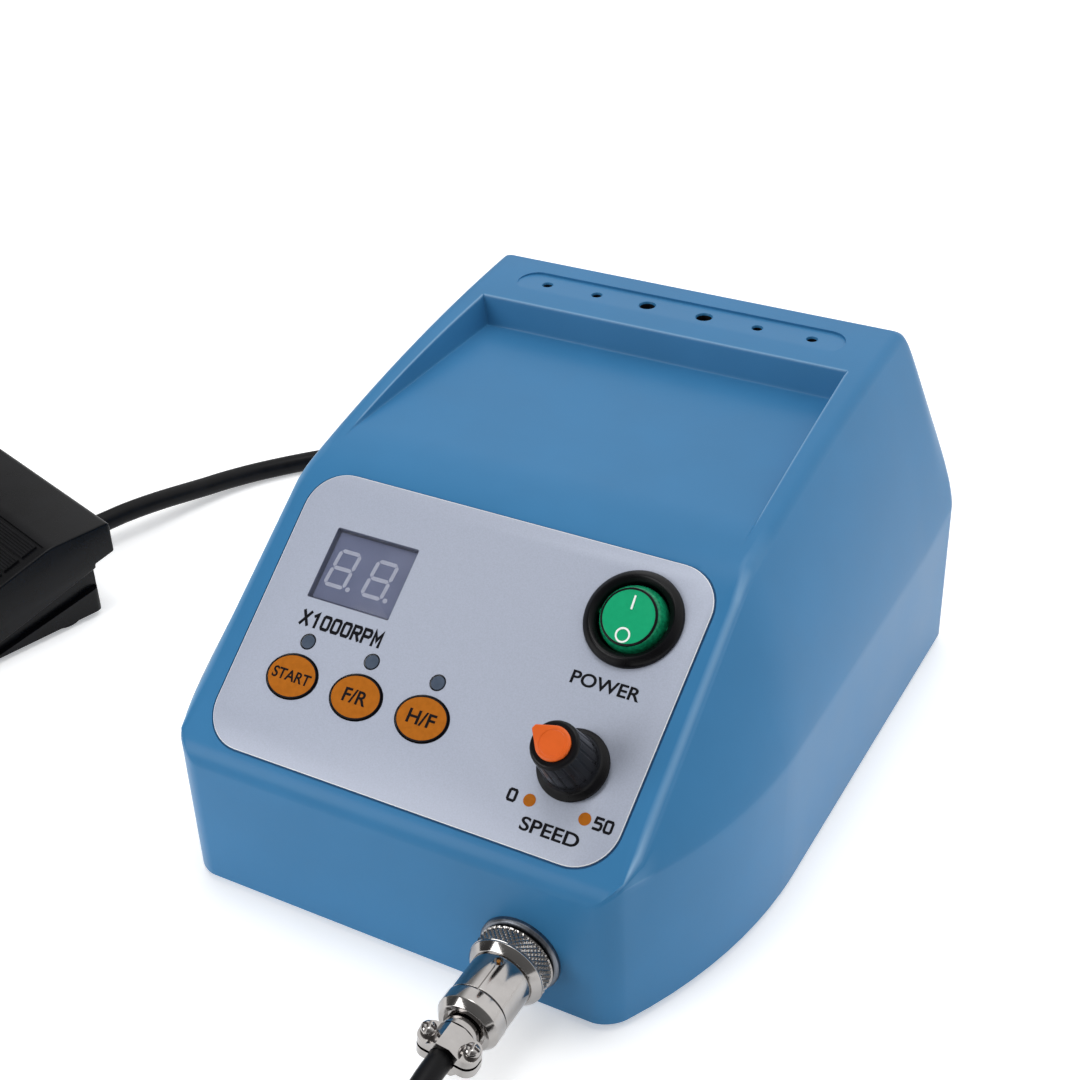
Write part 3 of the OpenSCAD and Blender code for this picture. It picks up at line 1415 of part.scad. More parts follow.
module pedal_base() {
    color("#202024") pedal_frame() difference() {
        union() {
            difference() {
                union() {
                    across(-pedal_w + base_in, -base_in) base_side();
                    across(-pedal_w + plinth_edge, -plinth_edge) plinth_side();
                }
                slab(-pedal_w + base_in + base_t, -base_in - base_t,
                    base_front + base_t, base_rear - base_t, base_z, 40);
            }
            for (x = ear_x) {
                translate([x, -hinge_y, hinge_z]) rotate([0, 90, 0]) cylinder(d = eye_d, h = ear_w);
                slab(x, x + ear_w, -hinge_y - eye_d / 2, -hinge_y + eye_d / 2, pedal_foot_h, hinge_z);
            }
            translate([spring_x, spring_y, base_z - 0.1])
                cylinder(d = spring_d - 2 * spring_wire - 1, h = 3);
        }
        translate([ear_x[1] - 0.2, -hinge_y, hinge_z]) rotate([0, 90, 0])
            cylinder(d = hinge_d + 2 * running, h = ear_x[0] - ear_x[1] + ear_w + 0.4);
        translate([exit_x, -overhang - 5, exit_z]) rotate([-90, 0, 0])
            cylinder(d = pedal_cord_d + 2.4 + 2 * gap, h = 10);
        for (x = lug_x)
            translate([x - free, -hinge_y, hinge_z]) rotate([0, 90, 0])
                cylinder(d = eye_d + 2 * free, h = lug_w + 2 * free);
    }
}
module pedal_hinge_pin() {
    color(chrome) pedal_frame()
        translate([ear_x[1] + 0.5, -hinge_y, hinge_z]) rotate([0, 90, 0])
            cylinder(d = hinge_d, h = ear_x[0] + ear_w - ear_x[1] - 1);
}
spring_turns = 7;
spring_from = base_z + 0.1;
spring_to = tread_z(spring_y - spring_d / 2) - tread_in / cos(pedal_slope) - 0.4;
spring_r = (spring_d - spring_wire) / 2;
spring_path = [for (i = [0:spring_turns * 8])
    [
        spring_x + spring_r * cos(i * 45), spring_y + spring_r * sin(i * 45),
        spring_from + spring_wire / 2 + (spring_to - spring_from - spring_wire) * i / (spring_turns * 8)
    ]];
module pedal_spring() {
    color(chrome) pedal_frame() cord(spring_path, spring_wire, coil_sides);
}
module pedal_sensor() {
    color("#2c5a34") pedal_frame() translate([sensor_x, sensor_y, base_z]) {
        slab(-15, 15, -9, 9, 0.1, 0.1 + board_t);
        slab(-2, 2, -1.5, 1.5, board_t, board_t + 2);
    }
}
foot_in = [7, 9];
foot_y = [-17, -pedal_l + 16];
module pedal_feet() {
    color(black) pedal_frame() for (i = [0, 1]) for (x = [-foot_in[i], -pedal_w + foot_in[i]])
        translate([x, foot_y[i], 0]) rotate_extrude() polygon([
            [0, 0], [pedal_foot_d / 2 - 1, 0], [pedal_foot_d / 2, pedal_foot_h * 0.5],
            [pedal_foot_d / 2, pedal_foot_h], [0, pedal_foot_h]
        ]);
}
module pedal_grommet() {
    color(black) pedal_frame() translate([exit_x, -overhang, exit_z]) rotate([-90, 0, 0]) {
        disc(pedal_cord_d + 2.4, -base_t - 1.5, 0.5);
        disc(pedal_cord_d + 5, 0, 1.6);
        translate([0, 0, 1.5])
            cylinder(d1 = pedal_cord_d + 2.2, d2 = pedal_cord_d + 1.4, h = grommet_l - 1.5);
    }
}

housing();
base_plate();
base_screws();
rubber_feet();
panel_overlay();
display_window();
led_display();
start_key();
direction_key();
hand_foot_key();
key_switches();
indicator_lamps();
display_board();
board_screws();
main_board();
board_parts();
transformer_core();
transformer_coil();
mains_inlet();
fuse_holder();
pedal_socket();
switch_body();
power_rocker();
speed_knob();
knob_cap();
pot_shaft();
potentiometer();
pot_nut();
motor_socket();
socket_nut();
coupling_ring();
plug_shell();
cable_clamp();
clamp_screws();
motor_cord();
motor_cord_coil();
motor_cord_tail();
motor_cord_tie();
handpiece_boot();
handpiece_rear_cap();
handpiece_sleeve();
chuck_ring();
handpiece_nose();
motor_magnets();
motor_armature();
spindle_bearings();
collet();
pedal_base();
pedal_treadle();
pedal_hinge_pin();
pedal_spring();
pedal_sensor();
pedal_magnet();
pedal_feet();
pedal_grommet();
pedal_cord();
pedal_cord_coil();
pedal_cord_tail();
pedal_cord_tie();
pedal_plug();
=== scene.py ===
"""Dresses a packed bench micromotor set: control box, foot pedal, motor handpiece and their cords."""
import math
from types import SimpleNamespace

import bpy
from bpy.props import FloatProperty, FloatVectorProperty, IntProperty, PointerProperty
from mathutils import Matrix, Vector


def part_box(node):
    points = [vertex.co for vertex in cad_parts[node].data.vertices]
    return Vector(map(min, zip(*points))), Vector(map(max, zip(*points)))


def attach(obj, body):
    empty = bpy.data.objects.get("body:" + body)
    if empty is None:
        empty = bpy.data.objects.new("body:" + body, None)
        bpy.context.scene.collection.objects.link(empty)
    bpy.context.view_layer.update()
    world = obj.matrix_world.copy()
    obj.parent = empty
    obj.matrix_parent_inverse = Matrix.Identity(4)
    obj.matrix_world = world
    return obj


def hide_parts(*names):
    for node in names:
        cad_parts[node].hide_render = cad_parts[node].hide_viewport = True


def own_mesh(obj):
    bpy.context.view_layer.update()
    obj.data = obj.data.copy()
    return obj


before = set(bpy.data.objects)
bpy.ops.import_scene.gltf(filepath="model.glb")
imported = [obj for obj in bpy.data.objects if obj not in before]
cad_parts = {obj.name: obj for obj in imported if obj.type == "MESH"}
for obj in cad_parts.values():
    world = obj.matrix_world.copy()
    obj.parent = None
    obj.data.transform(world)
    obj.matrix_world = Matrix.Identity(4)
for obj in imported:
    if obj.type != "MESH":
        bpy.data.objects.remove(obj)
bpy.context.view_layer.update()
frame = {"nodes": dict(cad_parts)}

bl_info = {
    "name": "Bench micromotor set",
    "version": (1, 0, 0),
    "blender": (4, 5, 0),
    "location": "View3D > Sidebar > Micromotor",
    "description": "Models and finishes a bench micromotor: control box, pedal, handpiece and cords",
    "category": "Object",
}

# Pieces are modelled in millimetres in the frame of what carries them, and keep() brings them to metres
MM = 0.001
BODY = "box"


def linear(code):
    """Linear colour of an sRGB hex code."""
    parts = [int(code[i:i + 2], 16) / 255 for i in (1, 3, 5)]
    return tuple(c / 12.92 if c <= 0.04045 else ((c + 0.055) / 1.055) ** 2.4 for c in parts)


def length(name, text, value):
    """Length property, given here in millimetres and held in metres."""
    return FloatProperty(name=name, description=text, default=value * MM, min=0.0, unit='LENGTH',
                         precision=5)


def colour(name, text, code):
    """Colour property, given as an sRGB hex code."""
    return FloatVectorProperty(name=name, description=text, default=linear(code), min=0.0, max=1.0,
                               subtype='COLOR')


class HousingSizes(bpy.types.PropertyGroup):
    """Sizes of the control box."""
    body_w: length("Width", "Widest part of the box", 144.6)
    body_d: length("Depth", "Depth of the box", 173)
    nose_w: length("Nose width", "Width of the front wall with its corners", 110)
    rear_w: length("Rear width", "Width of the rear wall", 144)
    ridge_w: length("Ridge width", "Distance between the two ridges", 115)
    front_h: length("Front height", "Height where the panel starts", 36.5)
    crease_h: length("Crease height", "Height of the crease in the sides", 38.5)
    rear_rise: length("Rear rise", "Rise of the crease at the rear", 4)
    panel_run: length("Panel run", "Depth that the panel covers", 63.8)
    top_r: length("Rail radius", "Radius of the rails beside the tray", 520)
    flare_d: length("Flare depth", "Depth over which the sides flare", 62)
    wall: length("Wall", "Moulded wall", 2.6)
    nose_r: length("Nose radius", "Corner radius of the front", 4.2)
    tail_r: length("Tail radius", "Corner radius of the rear", 5)
    ridge_r: length("Ridge rounding", "Reach of the rounding on the ridges", 2.9)
    bead_h: length("Bead", "Height of the bead along each ridge of the panel", 0.95)
    lip_r: length("Lip radius", "Rounding of the panel's lower edge", 3)
    side_swell: length("Side swell", "Swell of the upper sides", 1.2)
    tray_start: length("Tray start", "Front of the tray, from the front wall", 75)
    tray_end: length("Tray end", "Rear foot of the tray, from the front wall", 136)
    tray_w: length("Tray width", "Width of the tray at its rear", 98.6)
    tray_mouth_w: length("Tray mouth width", "Width of the tray at its mouth", 106)
    tray_depth: length("Tray depth", "Depth of the tray at its rear", 7.5)
    foot_h: length("Foot height", "Height of the rubber feet", 2)


class PanelSizes(bpy.types.PropertyGroup):
    """Sizes of what sits on the sloped panel."""
    overlay_up: length("Overlay centre", "Centre of the overlay, up the slope", 40.2)
    overlay_w: length("Overlay width", "Width of the overlay", 105.2)
    overlay_h: length("Overlay height", "Height of the overlay", 70.9)
    overlay_r: length("Overlay radius", "Corner radius of the overlay", 10)
    overlay_t: length("Overlay thickness", "Thickness of the printed film", 0.4)
    window_w: length("Window width", "Width of the display window", 22.5)
    window_h: length("Window height", "Height of the display window", 18.3)
    key_w: length("Key width", "Width of an oval key", 12.6)
    key_h: length("Key height", "Height of an oval key", 10.6)
    key_pitch: length("Key pitch", "Distance between the keys", 17.5)
    lamp_d: length("Lamp diameter", "Diameter of an indicator lamp", 3.3)
    bezel_d: length("Bezel diameter", "Bezel of the round rocker switch", 23)
    bezel_h: length("Bezel height", "Height of the switch bezel", 2.2)
    barrel_d: length("Barrel diameter", "Barrel of the switch", 19.8)
    rocker_d: length("Rocker diameter", "Ball that the rocker is cut from", 15.8)
    rocker_face_d: length("Rocker face", "Flat face of the rocker", 12.8)
    skirt_d: length("Skirt diameter", "Skirt of the speed knob", 16.4)
    knob_d: length("Knob diameter", "Speed knob at its top", 11)
    knob_root_d: length("Knob root", "Speed knob above its skirt", 12.6)
    knob_h: length("Knob height", "Height of the speed knob", 14.5)
    cap_d: length("Cap diameter", "Pointer cap of the knob", 8.4)
    flutes: IntProperty(name="Flutes", description="Flutes round the knob", default=18, min=6)


class PlugSizes(bpy.types.PropertyGroup):
    """Sizes of the motor connector."""
    flange_d: length("Flange diameter", "Flange of the panel socket", 18.8)
    ring_d: length("Ring diameter", "Knurled coupling ring", 18.2)
    shell_d: length("Shell diameter", "Barrel of the plug", 14.4)
    clamp_w: length("Clamp width", "Width over the cable clamp's ears", 14.1)
    motor_cord_d: length("Motor cord", "Diameter of the motor cord", 5.5)
    pedal_cord_d: length("Pedal cord", "Diameter of the pedal cord", 6)


class PedalSizes(bpy.types.PropertyGroup):
    """Sizes of the foot pedal."""
    pedal_w: length("Width", "Width of the treadle", 80)
    pedal_l: length("Length", "Length of the treadle", 81)
    pedal_h: length("Height", "Height of the level part", 28.8)
    level: length("Level part", "Length of the level part", 19)
    tread_t: length("Wall", "Wall of the treadle", 1.6)
    skirt_h: length("Skirt", "Skirt height at the rear", 10)
    side_h: length("Side", "Depth of the sides", 16.4)
    overhang: length("Overhang", "Overhang of the treadle behind the base", 6.5)
    bar_pitch: length("Bar pitch", "Spacing of the grip bars", 5.9)
    bar_gap: length("Bar gap", "Gap between two grip bars", 0.9)
    ribs: IntProperty(name="Ribs", description="Fine ribs on one grip bar", default=6, min=2)


class HandpieceSizes(bpy.types.PropertyGroup):
    """Sizes of the motor handpiece."""
    hand_d: length("Diameter", "Motor sleeve", 27)
    boot_l: length("Boot", "Length of the rubber boot", 24)
    rear_cap_l: length("Rear cap", "Length of the rear cap", 12)
    sleeve_l: length("Sleeve", "Length of the motor sleeve", 58)
    chuck_l: length("Chuck ring", "Length of the chuck ring", 20)
    nose_l: length("Nose", "Length of the nose", 38)
    tip_d: length("Tip", "Diameter of the nose at its tip", 12)


class FinishColours(bpy.types.PropertyGroup):
    """Colours that a user would change."""
    housing: colour("Housing", "Moulded plastic of the box", "#3a79a8")
    overlay: colour("Overlay", "Printed silver film", "#aab1c2")
    keys: colour("Keys", "Oval keys and dots", "#ad6314")
    rocker: colour("Rocker", "Rocker of the power switch", "#1aa572")
    cap: colour("Knob cap", "Pointer cap of the knob", "#dc5f1c")


class MicromotorSettings(bpy.types.PropertyGroup):
    """All sizes and colours of the set."""
    housing: PointerProperty(type=HousingSizes)
    panel: PointerProperty(type=PanelSizes)
    plug: PointerProperty(type=PlugSizes)
    pedal: PointerProperty(type=PedalSizes)
    handpiece: PointerProperty(type=HandpieceSizes)
    colours: PointerProperty(type=FinishColours)


def sizes(group):
    """Sizes of a property group in millimetres; counts stay as they are."""
    values = {}
    for key, prop in group.bl_rna.properties.items():
        if prop.type == 'FLOAT':
            values[key] = getattr(group, key) / MM
        elif prop.type == 'INT':
            values[key] = getattr(group, key)
    return SimpleNamespace(**values)


def settings():
    """The scene's own settings."""
    return bpy.context.scene.micromotor


# Angles of the box and the pedal
SLOPE = math.radians(34.5)
RAIL_SLOPE = math.radians(13.5)
REAR_LEAN = math.radians(12)
TRAY_DRAFT = math.tan(math.radians(14))
ROCKER_TILT = 9
POINTER_TURN = 157.6
TREAD_SLOPE = math.tan(math.radians(16))
PLUG_ROLL = math.radians(-8)

# Places on the panel, in millimetres from the overlay's centre
KEY_U = -18.2
KEY_V = -15.4
LAMP_V = -6.5
WINDOW = (-30.0, 12.9)
SWITCH = (37.2, 20.1)
KNOB = (37.2, -14.8)
SHAFT_HOLE = 7.5
SOCKET = (34.0, 13.5)
REAR_Z = 20.0
INLET_X = 38.0
FUSE_X = 4.0
JACK_X = -33.0


def shift(x, y, z=0.0):
    """Matrix that moves by millimetres."""
    return Matrix.Translation((x, y, z))


def spin(degrees, axis):
    """Matrix that turns about an axis."""
    return Matrix.Rotation(math.radians(degrees), 4, axis)


def panel_frame(u=0.0, v=0.0, n=0.0):
    """Place on the sloped panel."""
    box, panel = sizes(settings().housing), sizes(settings().panel)
    origin = (0, panel.overlay_up * math.cos(SLOPE) - box.body_d / 2,
              box.foot_h + box.front_h + panel.overlay_up * math.sin(SLOPE))
    return Matrix.Translation(origin) @ Matrix.Rotation(SLOPE, 4, 'X') @ shift(u, v, n)


def plug_frame():
    """Motor socket: z runs out of the front wall."""
    box = sizes(settings().housing)
    origin = (SOCKET[0], -box.body_d / 2, box.foot_h + SOCKET[1])
    return Matrix.Translation(origin) @ spin(90, 'X')


def rear_frame(x):
    """Rear wall: z runs out of it, y down."""
    box = sizes(settings().housing)
    origin = (x, box.body_d / 2, box.foot_h + REAR_Z)
    return Matrix.Translation(origin) @ spin(-90, 'X')


def pedal_frame():
    """Pedal: y runs to the rear edge at 0, x from the right-hand side at 0."""
    return shift(-146, -5) @ spin(-18, 'Z')


def hand_frame():
    """Handpiece: z runs from the cord to the nose."""
    return shift(-1, -208, 13.7) @ spin(-90, 'Y')


# Modelling helpers
def only(obj):
    """Select one object alone."""
    if bpy.context.mode != 'OBJECT':
        bpy.ops.object.mode_set(mode='OBJECT')
    bpy.ops.object.select_all(action='DESELECT')
    if obj:
        obj.select_set(True)
        bpy.context.view_layer.objects.active = obj


def edit(obj):
    """Open one object in edit mode with everything selected."""
    only(obj)
    bpy.ops.object.mode_set(mode='EDIT')
    bpy.ops.mesh.select_all(action='SELECT')


def close(obj):
    """Merge doubles, turn the faces outwards and leave edit mode."""
    bpy.ops.mesh.select_all(action='SELECT')
    bpy.ops.mesh.remove_doubles(threshold=0.0005)
    bpy.ops.mesh.delete_loose()
    bpy.ops.mesh.select_all(action='SELECT')
    bpy.ops.mesh.normals_make_consistent(inside=False)
    bpy.ops.object.mode_set(mode='OBJECT')
    return obj


def apply(obj, kind, **values):
    """Add a modifier and apply it."""
    only(obj)
    modifier = obj.modifiers.new(kind.lower(), kind)
    for key, value in values.items():
        setattr(modifier, key, value)
    bpy.ops.object.modifier_apply(modifier=modifier.name)
    return obj


def softened(obj, width, segments=3, angle=30):
    """Round the edges that are sharper than an angle."""
    return apply(obj, 'BEVEL', width=width, segments=segments, limit_method='ANGLE',
                 angle_limit=math.radians(angle), harden_normals=False, use_clamp_overlap=True)


def boolean(obj, tool, operation='DIFFERENCE'):
    """Cut or add one closed shape and remove it."""
    apply(obj, 'BOOLEAN', object=tool, operation=operation, solver='MANIFOLD')
    obj.data.materials.clear()
    bpy.data.objects.remove(tool)
    return obj


def joined(parts):
    """Join separate shapes into one object."""
    only(parts[0])
    for part in parts:
        part.select_set(True)
    bpy.ops.object.join()
    return parts[0]


def moved(obj, matrix):
    """Move a shape's mesh."""
    obj.data.transform(matrix)
    obj.data.update()
    return obj


def rounded(corners, steps=4):
    """Closed outline; a corner's third value is the reach of its rounding."""
    points = []
    for i, corner in enumerate(corners):
        here = Vector(corner[:2])
        reach = corner[2] if len(corner) > 2 else 0
        if not reach:
            points.append(here)
            continue
        back = Vector(corners[i - 1][:2]) - here
        on = Vector(corners[(i + 1) % len(corners)][:2]) - here
        a = here + back.normalized() * min(reach, back.length * 0.49)
        b = here + on.normalized() * min(reach, on.length * 0.49)
        for k in range(steps + 1):
            t = k / steps
            points.append(a * (1 - t) ** 2 + here * 2 * t * (1 - t) + b * t * t)
    return points


def turned(corners, steps=96):
    """Closed (radius, height) outline spun round the z axis."""
    outline = rounded(corners)
    only(None)
    bpy.ops.mesh.primitive_circle_add(vertices=len(outline), radius=1)
    obj = bpy.context.object
    for vertex, point in zip(obj.data.vertices, outline):
        vertex.co = (point.x, 0, point.y)
    edit(obj)
    bpy.ops.mesh.spin(steps=steps, angle=2 * math.pi, center=(0, 0, 0), axis=(0, 0, 1))
    return close(obj)


def prism(outline, low, high):
    """Flat outline extruded from one height to another."""
    only(None)
    bpy.ops.mesh.primitive_circle_add(vertices=len(outline), radius=1, fill_type='NGON')
    obj = bpy.context.object
    for vertex, point in zip(obj.data.vertices, outline):
        vertex.co = (point[0], point[1], low)
    edit(obj)
    bpy.ops.mesh.extrude_region_move(TRANSFORM_OT_translate={"value": (0, 0, high - low)})
    return close(obj)


def block(x, y, z, edge=0.0, segments=3):
    """Block between pairs of x, y and z, with rounded edges."""
    only(None)
    bpy.ops.mesh.primitive_cube_add(size=1)
    obj = bpy.context.object
    middle = shift(*[sum(span) / 2 for span in (x, y, z)])
    moved(obj, middle @ Matrix.Diagonal([high - low for low, high in (x, y, z)] + [1]))
    if edge:
        softened(obj, edge, segments)
    return obj


def rod(d, low, high, sides=48):
    """Round bar along z, for cutting."""
    return prism(ellipse(d, d, sides), low, high)


def ellipse(w, h, sides=72):
    """Outline of an ellipse."""
    return [(w / 2 * math.cos(a), h / 2 * math.sin(a))
            for a in (2 * math.pi * i / sides for i in range(sides))]


def plate(w, h, r, steps=8):
    """Outline of a rectangle with round corners."""
    points = []
    for k, (x, y) in enumerate(((1, 1), (-1, 1), (-1, -1), (1, -1))):
        for i in range(steps + 1):
            a = math.pi / 2 * (k + i / steps)
            points.append((x * (w / 2 - r) + r * math.cos(a), y * (h / 2 - r) + r * math.sin(a)))
    return points


def two_finishes(obj, main, other, is_other):
    """Give the faces that pass a test the second of two finishes."""
    for material in (main, other):
        obj.data.materials.append(material)
    for face in obj.data.polygons:
        face.material_index = int(is_other(face))
    return obj


def wire(name, line, d, fine):
    """Round wire along the points of a line, as a curve."""
    only(None)
    curve = bpy.data.curves.new(name, 'CURVE')
    curve.dimensions = '3D'
    curve.bevel_depth = d / 2
    curve.bevel_resolution = fine
    curve.use_fill_caps = True
    spline = curve.splines.new('POLY')
    spline.points.add(len(line) - 1)
    for point, place in zip(spline.points, line):
        point.co = (*place, 1)
    spline.use_smooth = True
    obj = bpy.data.objects.new(name, curve)
    bpy.context.collection.objects.link(obj)
    return obj


def keep(obj, name, material, matrix=None, body=BODY, nodes=(), angle=32, flat=False):
    """Put a finished piece in place in metres, name it, finish it and make it ride."""
    obj.name = name
    obj.data.name = name
    obj.matrix_world = Matrix.Scale(MM, 4) @ (matrix or Matrix())
    only(obj)
    bpy.ops.object.transform_apply(location=True, rotation=True, scale=True)
    if obj.type == 'MESH' and not flat:
        bpy.ops.object.shade_smooth_by_angle(angle=math.radians(angle))
    if not obj.data.materials:
        obj.data.materials.append(material)
    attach(obj, body)
    if nodes:
        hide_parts(*nodes)
    return obj


# Materials
def add(mat, kind, inputs=None, **values):
    """Add a node with its settings, and feed its inputs from numbers or other sockets."""
    node = mat.node_tree.nodes.new(kind)
    for key, value in values.items():
        setattr(node, key, value)
    for key, value in (inputs or {}).items():
        if isinstance(value, bpy.types.NodeSocket):
            mat.node_tree.links.new(value, node.inputs[key])
        else:
            node.inputs[key].default_value = value
    return node


def per(size):
    """Texture scale that gives a feature of a size in millimetres."""
    return 1 / (size * MM)


def tone(code):
    """Colour with alpha, from an sRGB hex code or a colour setting."""
    return (*(linear(code) if isinstance(code, str) else code), 1.0)


def shade(value, factor):
    """A colour setting made darker or lighter."""
    return tuple(min(c * factor, 1.0) for c in value)


def tones(name, low, high):
    """Darker and lighter tone of a colour setting."""
    value = getattr(settings().colours, name)
    return shade(value, low), shade(value, high)


def painted_edge_highlight(mat, where):
    """Share of the painted highlight, a paler tone on outer edges, along the panel's ridges and round the
    tray.
    """
    # Spans in millimetres over which the share grows from nothing (1) or falls to nothing (-1)
    apart = add(mat, "ShaderNodeSeparateXYZ", {"Vector": where}).outputs
    y, z = apart["Y"], apart["Z"]
    x = add(mat, "ShaderNodeMath", {0: apart["X"]}, operation='ABSOLUTE').outputs["Value"]
    ridge = [(x, 54.2, 55.2, 1), (x, 59.5, 61, -1), (y, -84, -80, 1), (y, -14, -8, -1), (z, 28, 34, 1)]
    tray = [(x, 53, 54, -1), (y, -10, -5, 1), (y, 53.5, 54.5, -1)]
    places = []
    for spans in (ridge, tray):
        share = 1.0
        for value, low, high, way in spans:
            share = add(mat, "ShaderNodeMapRange", {
                "Value": value, "From Min": low * MM, "From Max": high * MM,
                "To Min": share if way < 0 else 0.0,
                "To Max": share if way > 0 else 0.0}).outputs["Result"]
        places.append(share)
    place = add(mat, "ShaderNodeMath", {0: places[0], 1: places[1]}, operation='MAXIMUM').outputs["Value"]
    bend = add(mat, "ShaderNodeNewGeometry").outputs["Pointiness"]
    bend = add(mat, "ShaderNodeMapRange", {"Value": bend, "From Min": 0.505,
                                           "From Max": 0.545}).outputs["Result"]
    return add(mat, "ShaderNodeMath", {0: bend, 1: place}, operation='MULTIPLY').outputs["Value"]


def finish(name, pair, tone_mm, rough, grain_mm, grain_depth, stretch=(1, 1, 1), edge=None, **sockets):
    """Material with mottled tone and roughness and a fine surface relief, all in real sizes."""
    mat = bpy.data.materials.get(name)
    if mat:
        return mat
    mat = bpy.data.materials.new(name)
    mat.use_nodes = True
    shader = mat.node_tree.nodes["Principled BSDF"]
    for key, value in sockets.items():
        shader.inputs[key.replace("_", " ")].default_value = value
    where = add(mat, "ShaderNodeTexCoord").outputs["Object"]
    where = add(mat, "ShaderNodeMapping", {"Vector": where, "Scale": stretch}).outputs["Vector"]
    mottle = add(mat, "ShaderNodeTexNoise", {"Vector": where, "Scale": per(tone_mm), "Detail": 3.0})
    mottle = mottle.outputs["Fac"]
    ramp = add(mat, "ShaderNodeValToRGB", {"Fac": mottle})
    ramp.color_ramp.elements[0].position, ramp.color_ramp.elements[1].position = 0.35, 0.65
    ramp.color_ramp.elements[0].color, ramp.color_ramp.elements[1].color = tone(pair[0]), tone(pair[1])
    wear = add(mat, "ShaderNodeMapRange",
               {"Value": mottle, "From Min": 0.3, "From Max": 0.7, "To Min": rough[0], "To Max": rough[1]})
    grain = add(mat, "ShaderNodeTexNoise", {"Vector": where, "Scale": per(grain_mm), "Detail": 2.0})
    bump = add(mat, "ShaderNodeBump",
               {"Height": grain.outputs["Fac"], "Strength": 1.0, "Distance": grain_depth * MM})
    links = mat.node_tree.links
    colour_out = ramp.outputs["Color"]
    # An edge colour is a painted highlight, mixed in on convex edges where the mask allows
    if edge:
        colour_out = add(mat, "ShaderNodeMixRGB", {
            "Fac": painted_edge_highlight(mat, where), "Color1": colour_out, "Color2": tone(edge)}).outputs["Color"]
    links.new(colour_out, shader.inputs["Base Color"])
    links.new(wear.outputs["Result"], shader.inputs["Roughness"])
    links.new(bump.outputs["Normal"], shader.inputs["Normal"])
    return mat


def blue_abs():
    """Moulded ABS from a spark-eroded tool: satin, with a fine even grain, its edges painted paler as a
    highlight.
    """
    # The pale edge tone is a painted highlight on the ridges and round the tray
    return finish("moulded_blue_abs", tones("housing", 0.97, 1.03), 24, (0.28, 0.34), 0.5, 0.006,
                  edge="#86adcf", IOR=1.53, Specular_IOR_Level=0.13)


def black_abs():
    """Moulded black ABS: dull sheen with a fine grain."""
    return finish("moulded_black_abs", ("#09090b", "#0e0e11"), 9, (0.24, 0.31), 0.35, 0.006, IOR=1.53,
                  Specular_IOR_Level=0.14)


def grey_abs():
    """Moulded dark grey ABS of the base plate."""
    return finish("moulded_grey_abs", ("#2c2c30", "#343438"), 12, (0.45, 0.55), 0.5, 0.012, IOR=1.53)


def silver_film():
    """Polycarbonate film printed silver from behind: matt, with metal flake drawn coarse enough to show."""
    return finish("silver_printed_film", tones("overlay", 0.95, 1.05), 0.35, (0.4, 0.5), 0.6, 0.004,
                  Metallic=0.1, IOR=1.58)


def film_edge_highlight():
    """Cut edge of the film: bare polycarbonate, painted near white as a highlight along the edge."""
    return finish("film_cut_edge", ("#dfe2e6", "#eceef0"), 3, (0.4, 0.5), 0.4, 0.004)


def painted_gap_shade():
    """Painted shade: a dark ring under the film's edge that shows as a fine dark line, standing for the
    shadow in the gap round the film.
    """
    return finish("film_adhesive", ("#355b84", "#3b628c"), 3, (0.6, 0.7), 0.4, 0.003,
                  Specular_IOR_Level=0.1)


def dark_ink():
    """Screen-printed ink: even and slightly matt."""
    return finish("dark_screen_ink", ("#0b0b10", "#101016"), 1.5, (0.45, 0.55), 0.3, 0.003,
                  Specular_IOR_Level=0.1)


def orange_ink():
    """Screen-printed orange-brown of the keys and dots, under the film's own gloss."""
    return finish("orange_screen_ink", tones("keys", 0.94, 1.06), 1.2, (0.38, 0.48), 0.4, 0.004,
                  Specular_IOR_Level=0.12)


def white_paint():
    """Hot-stamped white marks on the rocker."""
    return finish("white_hot_stamp", ("#f2f4f2", "#fafbfa"), 1.5, (0.35, 0.45), 0.3, 0.003)


def green_polycarbonate():
    """Rocker moulded in green polycarbonate: glossy and deep in tone."""
    return finish("green_polycarbonate", tones("rocker", 0.97, 1.03), 1.2, (0.12, 0.18), 1.2, 0.004,
                  IOR=1.58, Specular_IOR_Level=0.12)


def green_painted_shade():
    """Moulded wall of the rocker: the same green painted darker as shade on its sides, and streaked."""
    return finish("green_polycarbonate_wall", tones("rocker", 0.42, 0.8), 0.8, (0.15, 0.22), 1.2, 0.004,
                  IOR=1.58, Specular_IOR_Level=0.12)


def orange_abs():
    """Moulded orange ABS of the pointer cap."""
    return finish("moulded_orange_abs", tones("cap", 0.96, 1.04), 4, (0.3, 0.4), 0.3, 0.006, IOR=1.53,
                  Specular_IOR_Level=0.25)


def nickel():
    """Nickel-plated brass: bright and smooth."""
    return finish("nickel_plated_brass", ("#9c9997", "#a8a5a3"), 6, (0.08, 0.15), 0.25, 0.003, Metallic=1.0)


def zinc_steel():
    """Zinc-plated steel: greyer and duller than nickel."""
    return finish("zinc_plated_steel", ("#a9abaf", "#b9bbbe"), 3, (0.26, 0.36), 0.3, 0.004, Metallic=1.0)


def alloy():
    """Anodised aluminium: satin, with fine lathe lines round its axis."""
    return finish("anodised_aluminium", ("#b2b6bc", "#bec2c8"), 2, (0.26, 0.34), 0.3, 0.004,
                  stretch=(6, 0.4, 0.4), Metallic=1.0)


def dark_alloy():
    """Hard-anodised aluminium of the chuck ring: darker satin grey."""
    return finish("hard_anodised_aluminium", ("#6d7178", "#7b7f86"), 2, (0.3, 0.4), 0.3, 0.004,
                  stretch=(6, 0.4, 0.4), Metallic=1.0)


def cord_pvc():
    """Extruded black PVC: smooth, with a dull sheen."""
    return finish("extruded_pvc", ("#0a0a0c", "#0f0f12"), 5, (0.36, 0.46), 0.6, 0.01, IOR=1.53,
                  Specular_IOR_Level=0.12)


